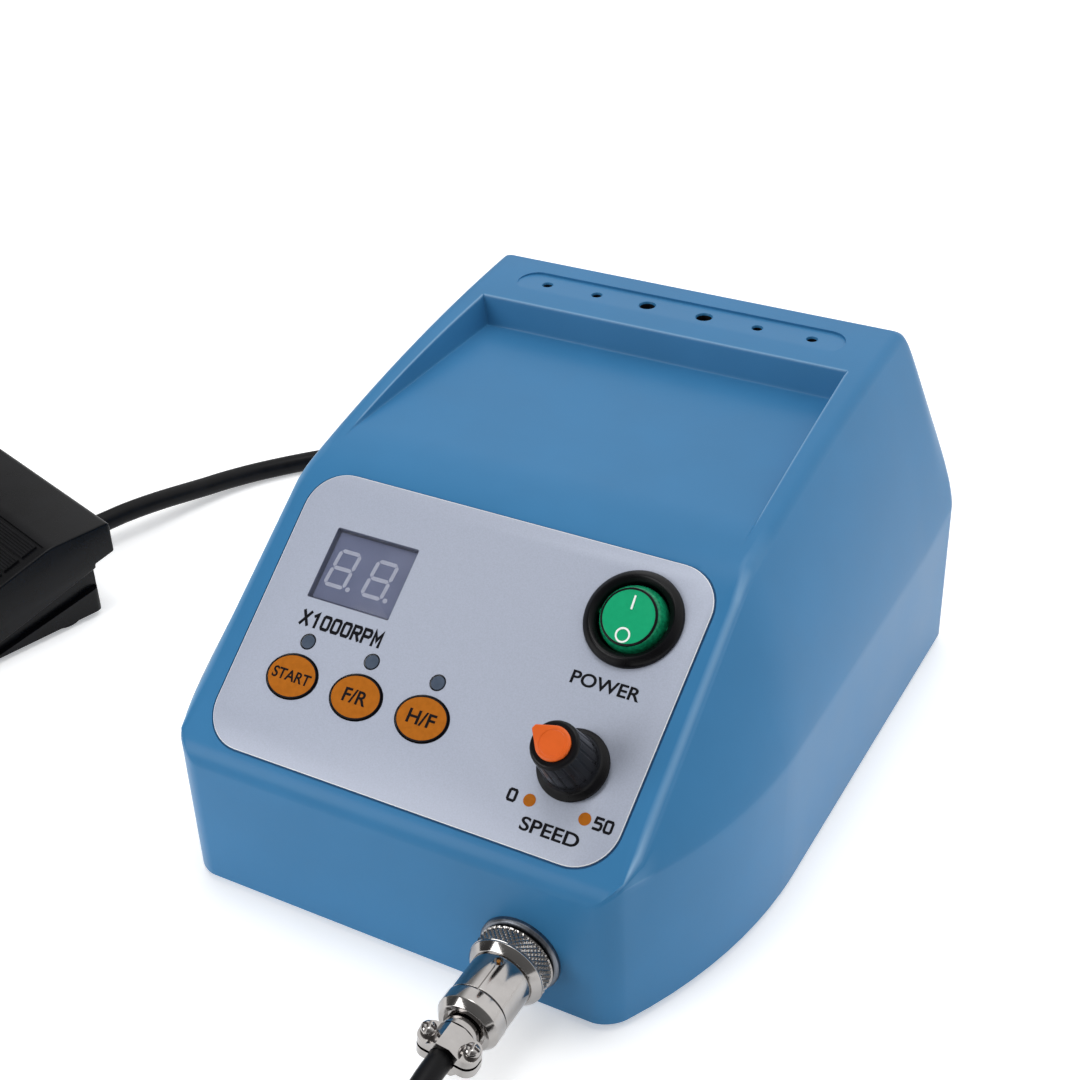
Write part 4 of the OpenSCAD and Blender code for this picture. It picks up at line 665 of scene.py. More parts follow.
def rubber_and_hole_shade():
    """Moulded rubber: dull and dark; also put on the walls of the bur holes as painted shade."""
    return finish("moulded_rubber", ("#0d0d0f", "#141417"), 4, (0.65, 0.8), 0.4, 0.015,
                  Specular_IOR_Level=0.14)


def strap():
    """Woven hook-and-loop strap: matt and rough."""
    return finish("woven_strap", ("#17171a", "#2a2a2e"), 0.8, (0.85, 0.95), 0.7, 0.12)


def display_face():
    """Grey epoxy face of the display block."""
    return finish("display_epoxy", ("#626a8a", "#687090"), 5, (0.4, 0.5), 0.4, 0.004)


def segment_white():
    """Milky unlit segments of the display."""
    return finish("milky_segments", ("#bcc0d0", "#c4c8d8"), 2, (0.35, 0.45), 0.4, 0.003)


def frame_ink():
    """Grey-blue print round the display window."""
    return finish("grey_frame_ink", ("#5e6478", "#666c80"), 2, (0.4, 0.5), 0.4, 0.003)


def clear_acrylic():
    """Thin acrylic window: clear with a faint blue-grey tint."""
    return finish("clear_acrylic", ("#7d8298", "#83889e"), 10, (0.08, 0.12), 4, 0.002, Alpha=0.14, IOR=1.49)


def lamp_lens():
    """Unlit lamp under the film: an even matt grey-blue."""
    return finish("cloudy_lens", ("#414d5e", "#495567"), 1.6, (0.4, 0.5), 0.8, 0.004,
                  Specular_IOR_Level=0.2)


def circuit_board():
    """Glass-epoxy circuit board under green solder resist."""
    return finish("green_solder_resist", ("#1c4a2a", "#2a623a"), 1.2, (0.3, 0.4), 0.5, 0.01)


def board_plastic():
    """Mixed cans, sinks and relays of the board."""
    return finish("board_parts_finish", ("#767a82", "#94989f"), 8, (0.35, 0.5), 0.4, 0.006, Metallic=0.5)


def iron():
    """Stacked transformer sheets: dark varnished iron with fine layers across the stack."""
    return finish("laminated_iron", ("#3c3936", "#56514b"), 0.7, (0.4, 0.55), 0.6, 0.05,
                  stretch=(0.05, 1, 0.05), Metallic=0.7)


def copper():
    """Enamelled copper windings: fine level turns under amber varnish."""
    return finish("enamelled_copper", ("#8a5620", "#b87b34"), 0.6, (0.25, 0.4), 0.6, 0.08,
                  stretch=(0.05, 0.05, 1), Metallic=0.8)


def magnet():
    """Sintered magnet: grey and grainy."""
    return finish("sintered_magnet", ("#55555b", "#66666c"), 1, (0.4, 0.55), 0.25, 0.015, Metallic=0.6)


def light_table():
    """Opal light table: white, and lit a little from below so that no shadow shows."""
    return finish("opal_light_table", ("#f6f6f6", "#fbfbfb"), 60, (0.8, 0.9), 1, 0.002,
                  Emission_Color=(1, 1, 1, 1), Emission_Strength=0.38)


# Stage, in metres: soft lights with place and power; the camera's place, its right, down and forward axes
LIGHTS = (("softbox_over", (-0.05, 0.05, 1.3), 3.6), ("softbox_left", (-0.45, -0.7, 0.45), 3.7))
LIGHT_AIM, LIGHT_SIZE = (0, 0, 0.05), 0.5
CAMERA_PLACE = (0.18341, -0.32857, 0.30779)
CAMERA_AXES = ((0.8757, 0.4815, -0.0347), (0.2386, -0.4941, -0.836), (-0.4197, 0.7239, -0.5476))
CAMERA_LENS = 61.35


class MICROMOTOR_OT_stage(bpy.types.Operator):
    """Lay the light table, hang the lights and set the camera at the photograph's angle"""
    bl_idname = "micromotor.stage"
    bl_label = "Stage"

    def execute(self, context):
        only(None)
        bpy.ops.mesh.primitive_plane_add(size=80)
        table = context.object
        table.name = "light_table"
        table.data.materials.append(light_table())
        world = bpy.data.worlds.new("studio")
        world.use_nodes = True
        sky = world.node_tree.nodes["Background"]
        sky.inputs["Color"].default_value = (1, 1, 1, 1)
        where = add(world, "ShaderNodeTexCoord").outputs["Generated"]
        way = add(world, "ShaderNodeSeparateXYZ", {"Vector": where}).outputs
        side = add(world, "ShaderNodeMapRange", {"Value": way["X"], "From Min": -0.65, "From Max": -0.45,
                                                 "To Min": 0.09, "To Max": 0.32})
        rear = add(world, "ShaderNodeMapRange", {"Value": way["Y"], "From Min": -0.3, "From Max": 0.35,
                                                 "To Min": 1, "To Max": 4.2})
        front = add(world, "ShaderNodeMapRange", {"Value": way["Y"], "From Min": -0.75, "From Max": -0.15,
                                                  "To Min": 0.5, "To Max": 1})
        depth = add(world, "ShaderNodeMath", {0: rear.outputs["Result"], 1: front.outputs["Result"]},
                    operation='MULTIPLY')
        level = add(world, "ShaderNodeMath", {0: side.outputs["Result"], 1: depth.outputs["Value"]},
                    operation='MULTIPLY')
        world.node_tree.links.new(level.outputs["Value"], sky.inputs["Strength"])
        context.scene.world = world
        for name, place, power in LIGHTS:
            bpy.ops.object.light_add(type='AREA', location=place)
            lamp = context.object
            lamp.name = name
            lamp.data.size = LIGHT_SIZE
            lamp.data.energy = power
            lamp.rotation_euler = (Vector(LIGHT_AIM) - Vector(place)).to_track_quat('-Z', 'Y').to_euler()
        bpy.ops.object.camera_add()
        camera = context.object
        camera.name = "product_camera"
        right, down, ahead = map(Vector, CAMERA_AXES)
        turn = Matrix((right, -down, -ahead)).transposed().to_4x4()
        camera.matrix_world = Matrix.Translation(CAMERA_PLACE) @ turn
        camera.data.sensor_width = 36
        camera.data.lens = CAMERA_LENS
        camera.data.clip_start = 0.01
        context.scene.camera = camera
        context.scene.view_settings.view_transform = 'Standard'
        return {'FINISHED'}


# Points in one turn of a coil
TURN_STEPS = 24

# Cord routes, in millimetres
MOTOR_LEAD = [
    (34, -108.7, 15.5), (34, -118, 15.5), (34, -125, 15.5), (34, -132, 14.2), (34, -139, 11.4),
    (34, -146, 8), (34, -153, 5.2), (34, -159, 3.95), (34, -164.5, 3.95)]
MOTOR_TAIL = [
    (34, -175.5, 10.05), (34, -178.8, 10.05), (33.2, -184, 10.6), (30.8, -190, 11.3), (26.5, -196, 12),
    (20, -202, 12.8), (12, -206.2, 13.4), (4.5, -208, 13.7), (-1, -208, 13.7)]
PEDAL_LEAD = [
    (-175.97, 6.315, 8), (-174.117, 12.021, 8), (-171.6, 19, 8), (-169.5, 25, 8), (-167.3, 31, 7.7),
    (-165, 38, 6.9), (-162.5, 45.5, 5.8), (-160, 52.5, 4.8), (-157.5, 59, 4.1), (-154.5, 65, 3.6),
    (-151, 70.5, 3.3), (-146, 77, 3.1), (-140, 83.5, 3.1), (-132, 91.5, 3.1), (-123, 100, 3.1),
    (-113.5, 109, 3.1), (-104, 118, 3.1), (-95, 126.5, 3.1), (-87, 133.6, 3.2), (-80, 139.6, 3.5),
    (-74, 144, 3.9), (-69.6, 146, 4.2), (-66, 146, 4.2)]
PEDAL_TAIL = [
    (-54, 146, 10.8), (-50.4, 146, 10.8), (-46.5, 144.6, 11.4), (-41, 140.8, 12.9), (-37, 135, 15.5),
    (-34.4, 128.5, 19), (-33.2, 122, 21.2), (-33, 117.5, 22), (-33, 114.5, 22)]


def coil(middle, inner, pitch, turns, start):
    """Flat coil that spirals in, climbs one layer and spirals out again."""
    points = []
    for i in range(int(2 * turns * TURN_STEPS) + 1):
        t = i / TURN_STEPS
        r = inner + pitch * abs(t - turns)
        climb = min(max((t - turns + 0.25) * 2, 0), 1)
        a = math.radians(start + 360 * t)
        points.append((middle[0] + r * math.cos(a), middle[1] + r * math.sin(a), middle[2] + pitch * climb))
    return points


def eased(points, parts=3):
    """Smooth line through the points of a route."""
    line = []
    route = [Vector(p) for p in points]
    for i in range(len(route) - 1):
        p0, p1, p2, p3 = (route[max(i - 1, 0)], route[i], route[i + 1], route[min(i + 2, len(route) - 1)])
        for k in range(parts):
            t = k / parts
            line.append(0.5 * (2 * p1 + (p2 - p0) * t + (2 * p0 - 5 * p1 + 4 * p2 - p3) * t * t
                               + (3 * p1 - p0 - 3 * p2 + p3) * t ** 3))
    return line + [route[-1]]


def tie(name, node):
    """Strap round one side of a coil, in the place of its solid."""
    low, high = (Vector(corner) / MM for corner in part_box(node))
    middle = (low + high) / 2
    w, h, thick = high.x - low.x, high.z - low.z, 0.8
    reach = (high.y - low.y) / 2
    outer = [(x, y, 3) for x, y in ((-w / 2, -h / 2), (w / 2, -h / 2), (w / 2, h / 2), (-w / 2, h / 2))]
    inner = [(x * (1 - 2 * thick / w), y * (1 - 2 * thick / h), 2.2) for x, y, _ in outer]
    obj = prism(rounded(outer, 6), -reach, reach)
    boolean(obj, prism(rounded(inner, 6), -reach - 1, reach + 1))
    softened(obj, 0.2, 2, 60)
    tail = block((w / 2 - 12, w / 2 - 1.5), (h / 2 - 0.2, h / 2 + 0.5), (-reach + 0.4, reach - 0.4), 0.2, 2)
    obj = boolean(obj, tail, 'UNION')
    place = Matrix.Translation(middle) @ spin(90, 'X')
    return keep(obj, name, strap(), place, nodes=(node,))


class MICROMOTOR_OT_cords(bpy.types.Operator):
    """Lay the motor cord and the pedal cord with their ties"""
    bl_idname = "micromotor.cords"
    bl_label = "Cords"

    def execute(self, context):
        plug = sizes(settings().plug)
        nodes = frame["nodes"]
        motor_tie = tie("motor_coil_strap", "motor_cord_tie")
        pedal_tie = tie("pedal_coil_strap", "pedal_cord_tie")
        tool = [nodes[n] for n in ("handpiece_boot", "handpiece_rear_cap", "handpiece_sleeve", "chuck_ring",
                                   "handpiece_nose")]
        cords = (
            ("motor_lead", MOTOR_LEAD + coil((76.15, -170, 3.95), 23.85, 6.1, 3, 180) + MOTOR_TAIL,
             plug.motor_cord_d, (34, -119.6, 15.5), 1.4, "tool", "motor_cord", [motor_tie] + tool),
            ("pedal_lead", PEDAL_LEAD + coil((-60, 188.9, 4.2), 23.1, 6.6, 3, -90) + PEDAL_TAIL,
             plug.pedal_cord_d, PEDAL_LEAD[0], 1.55, "plug", "pedal_cord",
             [pedal_tie, nodes["pedal_plug"]]))
        for name, route, d, leave, reach, end, node, pieces in cords:
            apart = [b for a, b in zip(route, route[1:]) if (Vector(b) - Vector(a)).length > 0.1]
            cord = wire(name, [p * MM for p in eased(route[:1] + apart)], d * MM, 5)
            cord.data.materials.append(cord_pvc())
            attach(cord, BODY)
            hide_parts(node, node + "_coil", node + "_tail")
        return {'FINISHED'}


# Housing lines run y from the front wall and z from the housing's foot
# Reach of the blend where panel and rails, roof and rear, and roof and tray meet
BEND_BLEND, REAR_BLEND, TRAY_BLEND = 2.4, 9, 0.9
# How far before the rear's lean the sections come close, and how far the tray's walls act beyond its ends
REAR_REACH, TRAY_REACH = 12, 6
BUR_Y = 149


def soft_min(a, b, k):
    """Smaller of two values, blended where they are close."""
    return min(a, b) - max(k - abs(a - b), 0) ** 2 / (4 * k)


def soft_max(a, b, k):
    """Larger of two values, blended where they are close."""
    return -soft_min(-a, -b, k)


def corner_drop(y, r):
    """How far a round corner of a radius falls back at a distance from the wall."""
    return r - math.sqrt(max(r * r - (r - y) ** 2, 0)) if y < r else 0.0


class HousingLines:
    """Outline of the box: plan, roof, tray and cross-sections."""

    def __init__(self, box):
        self.box = box
        half, nose = box.body_w / 2, box.nose_w / 2
        self.flare_r = (box.flare_d ** 2 + (half - nose) ** 2) / (2 * (half - nose))
        self.bend_z = box.front_h + box.panel_run * math.tan(SLOPE)
        self.arc_y = box.panel_run + box.top_r * math.sin(RAIL_SLOPE)
        self.arc_z = self.bend_z - box.top_r * math.cos(RAIL_SLOPE)
        self.floor_z = self.rail(box.tray_end) - box.tray_depth
        self.mouth_z = self.crown(box.tray_start)
        self.rear_y = box.body_d - (self.bend_z - box.crease_h) * math.tan(REAR_LEAN) - REAR_REACH

    def plan(self, y):
        """Half width of the box."""
        box = self.box
        half = box.body_w / 2
        if y < box.flare_d:
            side = half - self.flare_r + math.sqrt(self.flare_r ** 2 - (box.flare_d - y) ** 2)
        else:
            side = half + (box.rear_w / 2 - half) * (y - box.flare_d) / (box.body_d - box.flare_d)
        return side - corner_drop(y, box.nose_r) - corner_drop(box.body_d - y, box.tail_r)

    def rail(self, y):
        """Rails beside the tray."""
        return self.arc_z + math.sqrt(self.box.top_r ** 2 - (y - self.arc_y) ** 2)

    def crown(self, y):
        """Panel and rails together."""
        return soft_min(self.box.front_h + y * math.tan(SLOPE), self.rail(y), BEND_BLEND)

    def crease(self, y):
        """Crease in the sides."""
        return self.box.crease_h + self.box.rear_rise * max(0, 1 - (self.box.body_d - y) / 25)

    def roof(self, y):
        """Top of the box without its tray."""
        box = self.box
        rear = box.crease_h + box.rear_rise + (box.body_d - y) / math.tan(REAR_LEAN)
        return soft_min(self.crown(y), rear, REAR_BLEND) - corner_drop(y, box.lip_r)

    def tray_floor(self, y):
        """Floor of the tray."""
        box = self.box
        part = (min(y, box.tray_end) - box.tray_start) / (box.tray_end - box.tray_start)
        return self.mouth_z + (self.floor_z - self.mouth_z) * part

    def tray_half(self, y):
        """Half width of the tray's floor."""
        box = self.box
        part = min(max((y - box.tray_start) / (box.tray_end - box.tray_start), 0), 1)
        return (box.tray_mouth_w + (box.tray_w - box.tray_mouth_w) * part) / 2

    def surface(self, x, y):
        """Top of the box with its tray."""
        box, top = self.box, self.roof(y)
        if y < box.tray_start - TRAY_REACH or y > box.tray_end + TRAY_REACH:
            return top
        floor = self.tray_floor(y)
        tray = soft_max(floor, floor + (abs(x) - self.tray_half(y)) / TRAY_DRAFT, TRAY_BLEND)
        tray = soft_max(tray, self.floor_z + (y - box.tray_end) / TRAY_DRAFT, TRAY_BLEND)
        return soft_min(top, tray, TRAY_BLEND)

    def bead(self, y):
        """Height of the rounded bead on the panel's ridges; it runs out at the bend."""
        fade = min(max((self.box.panel_run + 3 - y) / 8, 0), 1) * min(y / 6, 1)
        return self.box.bead_h * fade

    def inner_roof(self, y):
        """Inner side of the roof, under the tray all the way back."""
        box = self.box
        drops = [self.roof(min(max(y + box.wall * math.sin(t), 0), box.body_d)) - box.wall * math.cos(t)
                 for t in (math.radians(15 * k) for k in range(-5, 6))]
        if y > box.tray_start - box.wall:
            drops.append(self.tray_floor(y) - box.wall)
        return min(drops)

    def flank(self, y, inset, foot, top, fine):
        """One side of a cross-section, from its foot over the crease to the end of the ridge's rounding."""
        box = self.box
        half = self.plan(y) - inset
        full = self.crown(y) - inset
        knee = min(self.crease(y), top - 1)
        ridge = min(box.ridge_w / 2 - inset, half - 0.6)
        share = min((top - knee) / max(full - knee, 1), 1)
        tip, root = Vector((half + (ridge - half) * share, top)), Vector((half, knee))
        up = tip - root
        reach = min(box.ridge_r, 0.45 * up.length)
        a, b = tip - up.normalized() * reach, tip - Vector((reach, 0))
        swell = box.side_swell * (top - knee) / (self.bend_z - box.crease_h)
        side = [root + (a - root) * s + Vector((swell * 4 * s * (1 - s), 0)) for s in (
            (0.06, 0.14, 0.26, 0.38, 0.5, 0.62, 0.74, 0.86, 0.94) if fine else (0.2, 0.5, 0.8))]
        out = (tip - (a + b) / 2).normalized() * (self.bead(y) if fine else 0)
        parts = 12 if fine else 3
        bend = [a * (1 - t) ** 2 + tip * 2 * t * (1 - t) + b * t * t + out * math.sin(math.pi * t) ** 2
                for t in (k / parts for k in range(parts + 1))]
        low = [Vector((half, foot + (knee - foot) * s))
               for s in ((0, 0.05, 0.5, 0.95, 0.985) if fine else (0,))]
        knee_point = (low[-1] + side[0]) / 4 + root / 2 if fine else root
        return low + [knee_point] + side + bend

    def roof_columns(self, y, b):
        """Places across the roof, close together at the tray's wall, from a ridge to the middle."""
        box = self.box
        at = min(max(y, box.tray_start + 0.5), box.tray_end + 4)
        foot = self.tray_half(at)
        rise = max(self.roof(at) - self.tray_floor(at), 0.05) * TRAY_DRAFT
        edge = foot + rise
        whole = self.flank(at, 0, 0, self.roof(at), True)[-1].x
        beside = max(whole - edge, 0.2)
        outer = [edge + beside * s for s in (0.8, 0.5, 0.25, 0.12, 0.05)]
        wall = [foot + rise * s for s in (1, 0.96, 0.9, 0.8, 0.65, 0.5, 0.35, 0.2, 0.1, 0.04, 0)]
        floor = [foot - d for d in (0.1, 0.25, 0.5, 1, 2.5, 6)] + [foot * 0.66, foot * 0.33]
        return [x * b / whole for x in outer + wall + floor]

    def ring(self, y, fine=True):
        """Open cross-section from the right foot over the roof to the left foot."""
        if fine:
            side = self.flank(y, 0, 0, self.roof(y), True)
            end = side[-1].x
            across = [(x, self.surface(x, y)) for x in self.roof_columns(y, end)]
            middle = [(0, self.surface(0, y))]
        else:
            side = self.flank(y, self.box.wall, -1, self.inner_roof(y), False)
            across, middle = [], []
        half = [(p.x, p.y) for p in side] + across
        return [(x, y, z) for x, z in half + middle + [(-x, z) for x, z in reversed(half)]]

    def skin(self, stations, fine):
        """Closed skin over the cross-sections: a grid bent to them, with its ends and foot filled."""
        rings = [self.ring(y, fine) for y in stations]
        columns = len(rings[0])
        only(None)
        bpy.ops.mesh.primitive_grid_add(x_subdivisions=columns - 1, y_subdivisions=len(rings) - 1, size=1)
        obj = bpy.context.object
        lift = Vector((0, -self.box.body_d / 2, self.box.foot_h))
        order = sorted(obj.data.vertices, key=lambda v: (round(v.co.y, 5), round(v.co.x, 5)))
        for k, vertex in enumerate(order):
            vertex.co = Vector(rings[k // columns][k % columns]) + lift
        ends = [[v.index for v in order[:columns]], [v.index for v in order[-columns:]]]
        for end in ends:
            edit(obj)
            bpy.ops.mesh.select_all(action='DESELECT')
            bpy.ops.object.mode_set(mode='OBJECT')
            for index in end:
                obj.data.vertices[index].select = True
            bpy.ops.object.mode_set(mode='EDIT')
            bpy.ops.mesh.edge_face_add()
        bpy.ops.mesh.select_all(action='DESELECT')
        bpy.ops.mesh.select_non_manifold()
        bpy.ops.mesh.edge_face_add()
        return close(obj)


def spread(a, b, n):
    """Even steps from one place to another, the first place left out."""
    return [a + (b - a) * i / n for i in range(1, n + 1)]


def stations_fine(lines):
    """Places along the box, close together where its outline bends."""
    box, rear = lines.box, lines.rear_y
    run, end = box.panel_run, box.tray_end
    places = [box.nose_r * (1 - math.cos(math.radians(9 * i))) for i in range(11)]
    places += spread(box.nose_r, run - 9, 9) + spread(run - 9, run + 9, 14)
    places += spread(run + 9, box.tray_start + 7, 10) + spread(box.tray_start + 7, end - 2.5, 8)
    wall = box.tray_depth * TRAY_DRAFT
    places += [end + d for d in (-1.5, -0.8, -0.4, -0.2, -0.08, 0.04, 0.12, 0.24, 0.4)]
    shares = (0.35, 0.55, 0.7, 0.8, 0.88, 0.94, 0.98, 1.02, 1.08, 1.18, 1.4, 1.9, 3)
    places += [end + wall * s for s in shares]
    places += spread(end + wall * 3, rear, 4) + spread(rear, box.body_d - box.tail_r, 16)
    return places + [box.body_d - box.tail_r + box.tail_r * math.sin(math.radians(10 * i))
                     for i in range(1, 10)]


def stations_coarse(lines):
    """Places along the hollow of the box."""
    box, rear = lines.box, lines.rear_y
    front = box.tray_start - box.wall
    places = [box.wall] + spread(box.wall, box.nose_r, 3) + spread(box.nose_r, front, 5)
    return places + spread(front, rear, 4) + spread(rear, box.body_d - box.wall, 6)


def bur_places():
    """Holes for burs: place across the box and diameter."""
    return [(s * (8.1 + i * 14.8), 4.0 if i == 0 else 2.5) for s in (-1, 1) for i in range(3)]


def key_places(panel):
    """Places of the three keys across the panel."""
    return [KEY_U + k * panel.key_pitch for k in (-1, 0, 1)]


def panel_openings(low, high, corner, lamp_gap):
    """Cutters for what comes through the panel: window, keys, lamps, switch and knob."""
    panel = sizes(settings().panel)
    cuts = [moved(prism(plate(panel.window_w, panel.window_h, corner, 4), low, high), shift(*WINDOW))]
    for u in key_places(panel):
        cuts.append(moved(prism(ellipse(panel.key_w + 0.5, panel.key_h + 0.5), low, high), shift(u, KEY_V)))
        cuts.append(moved(rod(panel.lamp_d + lamp_gap, low, high, 32), shift(u, LAMP_V)))
    cuts.append(moved(rod(panel.barrel_d + 0.5, low, high, 64), shift(*SWITCH)))
    cuts.append(moved(rod(SHAFT_HOLE, low, high, 32), shift(*KNOB)))
    return joined(cuts)


def overlay_outline(grow=0.0):
    """Outline of the overlay, a little wider at the top."""
    panel = sizes(settings().panel)
    w, h = panel.overlay_w + 2 * grow, panel.overlay_h + 2 * grow
    spread = 0.65
    return [(0.4 + x * (1 + spread * y / (h / 2) / (w / 2)), y)
            for x, y in plate(w, h, panel.overlay_r + grow, 12)]


class MICROMOTOR_OT_housing(bpy.types.Operator):
    """Mould the blue housing with its tray, bur ledge and openings"""
    bl_idname = "micromotor.housing"
    bl_label = "Housing"

    def execute(self, context):
        box = sizes(settings().housing)
        lines = HousingLines(box)
        shell = lines.skin(stations_fine(lines), True)
        boolean(shell, lines.skin(stations_coarse(lines), False))
        lift = shift(0, -box.body_d / 2, box.foot_h)
        ledge = lines.rail(BUR_Y)
        posts = [moved(rod(8, ledge - 16, ledge - 1.2, 32), shift(x, BUR_Y))
                 for x, _ in bur_places()]
        for y in (20, box.body_d - 23):
            for s in (-1, 1):
                x = s * (lines.plan(y) - box.wall - 2.85 - 0.25 - 0.9)
                posts.append(moved(rod(8, 3.05, 21.05, 32), shift(x, y)))
        boolean(shell, moved(joined(posts), lift), 'UNION')
        tools = [moved(panel_openings(-box.wall - 6, 5, 0.5, 0.5), panel_frame())]
        through = (-box.wall - 3, 5)
        tools += [moved(rod(16.1, *through, 64), plug_frame()),
                  moved(prism(plate(27.6, 20.4, 1), *through), rear_frame(INLET_X)),
                  moved(rod(11.5, *through), rear_frame(FUSE_X)),
                  moved(rod(8.5, *through), rear_frame(JACK_X))]
        boolean(shell, joined(tools))
        groove = prism(overlay_outline(0.45), -0.3, 3)
        boolean(groove, prism(overlay_outline(-0.1), -1, 4))
        boolean(shell, moved(groove, panel_frame()))
        recess = prism(plate(92.6, 10.5, 5.2, 16), ledge - 0.25, ledge + 1.5)
        boolean(shell, moved(recess, shift(0, BUR_Y) @ lift))
        holes = [moved(rod(d, ledge - 14, ledge + 5, 32), shift(x, BUR_Y)) for x, d in bur_places()]
        boolean(shell, moved(joined(holes), lift))
        rims = [moved(turned([(0, ledge - 1), (d / 2 - 0.1, ledge - 1), (d / 2 + 0.28, ledge - 0.24),
                              (d / 2 + 0.28, ledge + 2), (0, ledge + 2)], 32), shift(x, BUR_Y))
                for x, d in bur_places()]
        boolean(shell, moved(joined(rims), lift))

        # Painted shade: the bur holes' walls take the dark rubber finish so that the holes show dark inside
        def in_hole_painted_shade(face):
            x, y, z = lift.inverted() @ face.center
            near = min(math.hypot(x - u, y - BUR_Y) - d / 2 for u, d in bur_places())
            return near < 0.03 and ledge - 15 < z < ledge - 0.6
        two_finishes(shell, blue_abs(), rubber_and_hole_shade(), in_hole_painted_shade)
        housing = keep(shell, "blue_housing", blue_abs(), nodes=("housing",), angle=28)
        apply(housing, 'WEIGHTED_NORMAL', keep_sharp=True, weight=60)
        return {'FINISHED'}


def word(text, box, low, high):
    """Printed word that fills a box (left, right, bottom, top)."""
    only(None)
    bpy.ops.object.text_add()
    obj = bpy.context.object
    obj.data.body = text
    obj.data.extrude = 0.5
    obj.data.offset = 0.018
    bpy.ops.object.convert(target='MESH')
    obj = bpy.context.object
    xs, ys = [v.co.x for v in obj.data.vertices], [v.co.y for v in obj.data.vertices]
    left, right, bottom, top = box
    sx, sy = (right - left) / (max(xs) - min(xs)), (top - bottom) / (max(ys) - min(ys))
    for vertex in obj.data.vertices:
        vertex.co = (left + (vertex.co.x - min(xs)) * sx, bottom + (vertex.co.y - min(ys)) * sy,
                     low if vertex.co.z < 0 else high)
    edit(obj)
    return close(obj)


# Strokes of the narrow letters, on a field 4 wide and 6 high
STROKES = {
    "X": (((0, 6), (4, 0)), ((0, 0), (4, 6))),
    "1": (((0.9, 4.9), (2.4, 6), (2.4, 0)),),
    "0": (((2, 6), (3.4, 6), (4, 5.2), (4, 0.8), (3.4, 0), (2, 0)),
          ((2, 0), (0.6, 0), (0, 0.8), (0, 5.2), (0.6, 6), (2, 6))),
    "5": (((3.9, 6), (0.2, 6), (0, 3.4), (3.3, 3.4), (4, 2.6), (4, 0.7), (3.3, 0), (0, 0)),),
    "R": (((0, 0), (0, 6)), ((0, 6), (3.3, 6), (4, 5.3), (4, 3.6), (3.3, 2.9), (0, 2.9)),
          ((2, 2.9), (4, 0))),
    "P": (((0, 0), (0, 6)), ((0, 6), (3.3, 6), (4, 5.3), (4, 3.5), (3.3, 2.8), (0, 2.8))),
    "M": (((0, 0), (0, 6), (2, 2.4), (4, 6), (4, 0)),)}


def stroke(points, w):
    """Closed outline of an open line drawn with a pen of a width."""
    line = [Vector(p) for p in points]
    steps = [(b - a).normalized() for a, b in zip(line, line[1:])]
    line[0], line[-1] = line[0] - steps[0] * w / 2, line[-1] + steps[-1] * w / 2
    left, right = [], []
    for k, point in enumerate(line):
        before, after = steps[max(k - 1, 0)], steps[min(k, len(steps) - 1)]
        across = Vector((-before.y - after.y, before.x + after.x)).normalized()
        reach = w / 2 / max(across.dot(Vector((-after.y, after.x))), 0.4)
        left.append(point + across * reach)
        right.append(point - across * reach)
    return left + right[::-1]


def drawn(text, box, low, high, pen=1.5):
    """Narrow lettering drawn stroke by stroke in a box (left, right, bottom, top)."""
    left, right, bottom, top = box
    gap = 6.2
    wide = (right - left) / (len(text) * gap - 1.2)
    tall = (top - bottom) / 7
    glyphs = []
    for k, letter in enumerate(text):
        parts = [prism(stroke(line, pen), low, high) for line in STROKES[letter]]
        glyph = parts[0]
        for part in parts[1:]:
            boolean(glyph, part, 'UNION')
        glyphs.append(moved(glyph, shift(left, bottom) @ Matrix.Diagonal((wide, tall, 1, 1))
                            @ shift(0.5 + k * gap, 0.5)))
    return joined(glyphs)


def ring_print(outer, inner, low, high, sides=72):
    """Flat printed ring."""
    obj = prism(ellipse(*outer, sides), low, high)
    return boolean(obj, prism(ellipse(*inner, sides), low - 1, high + 1))


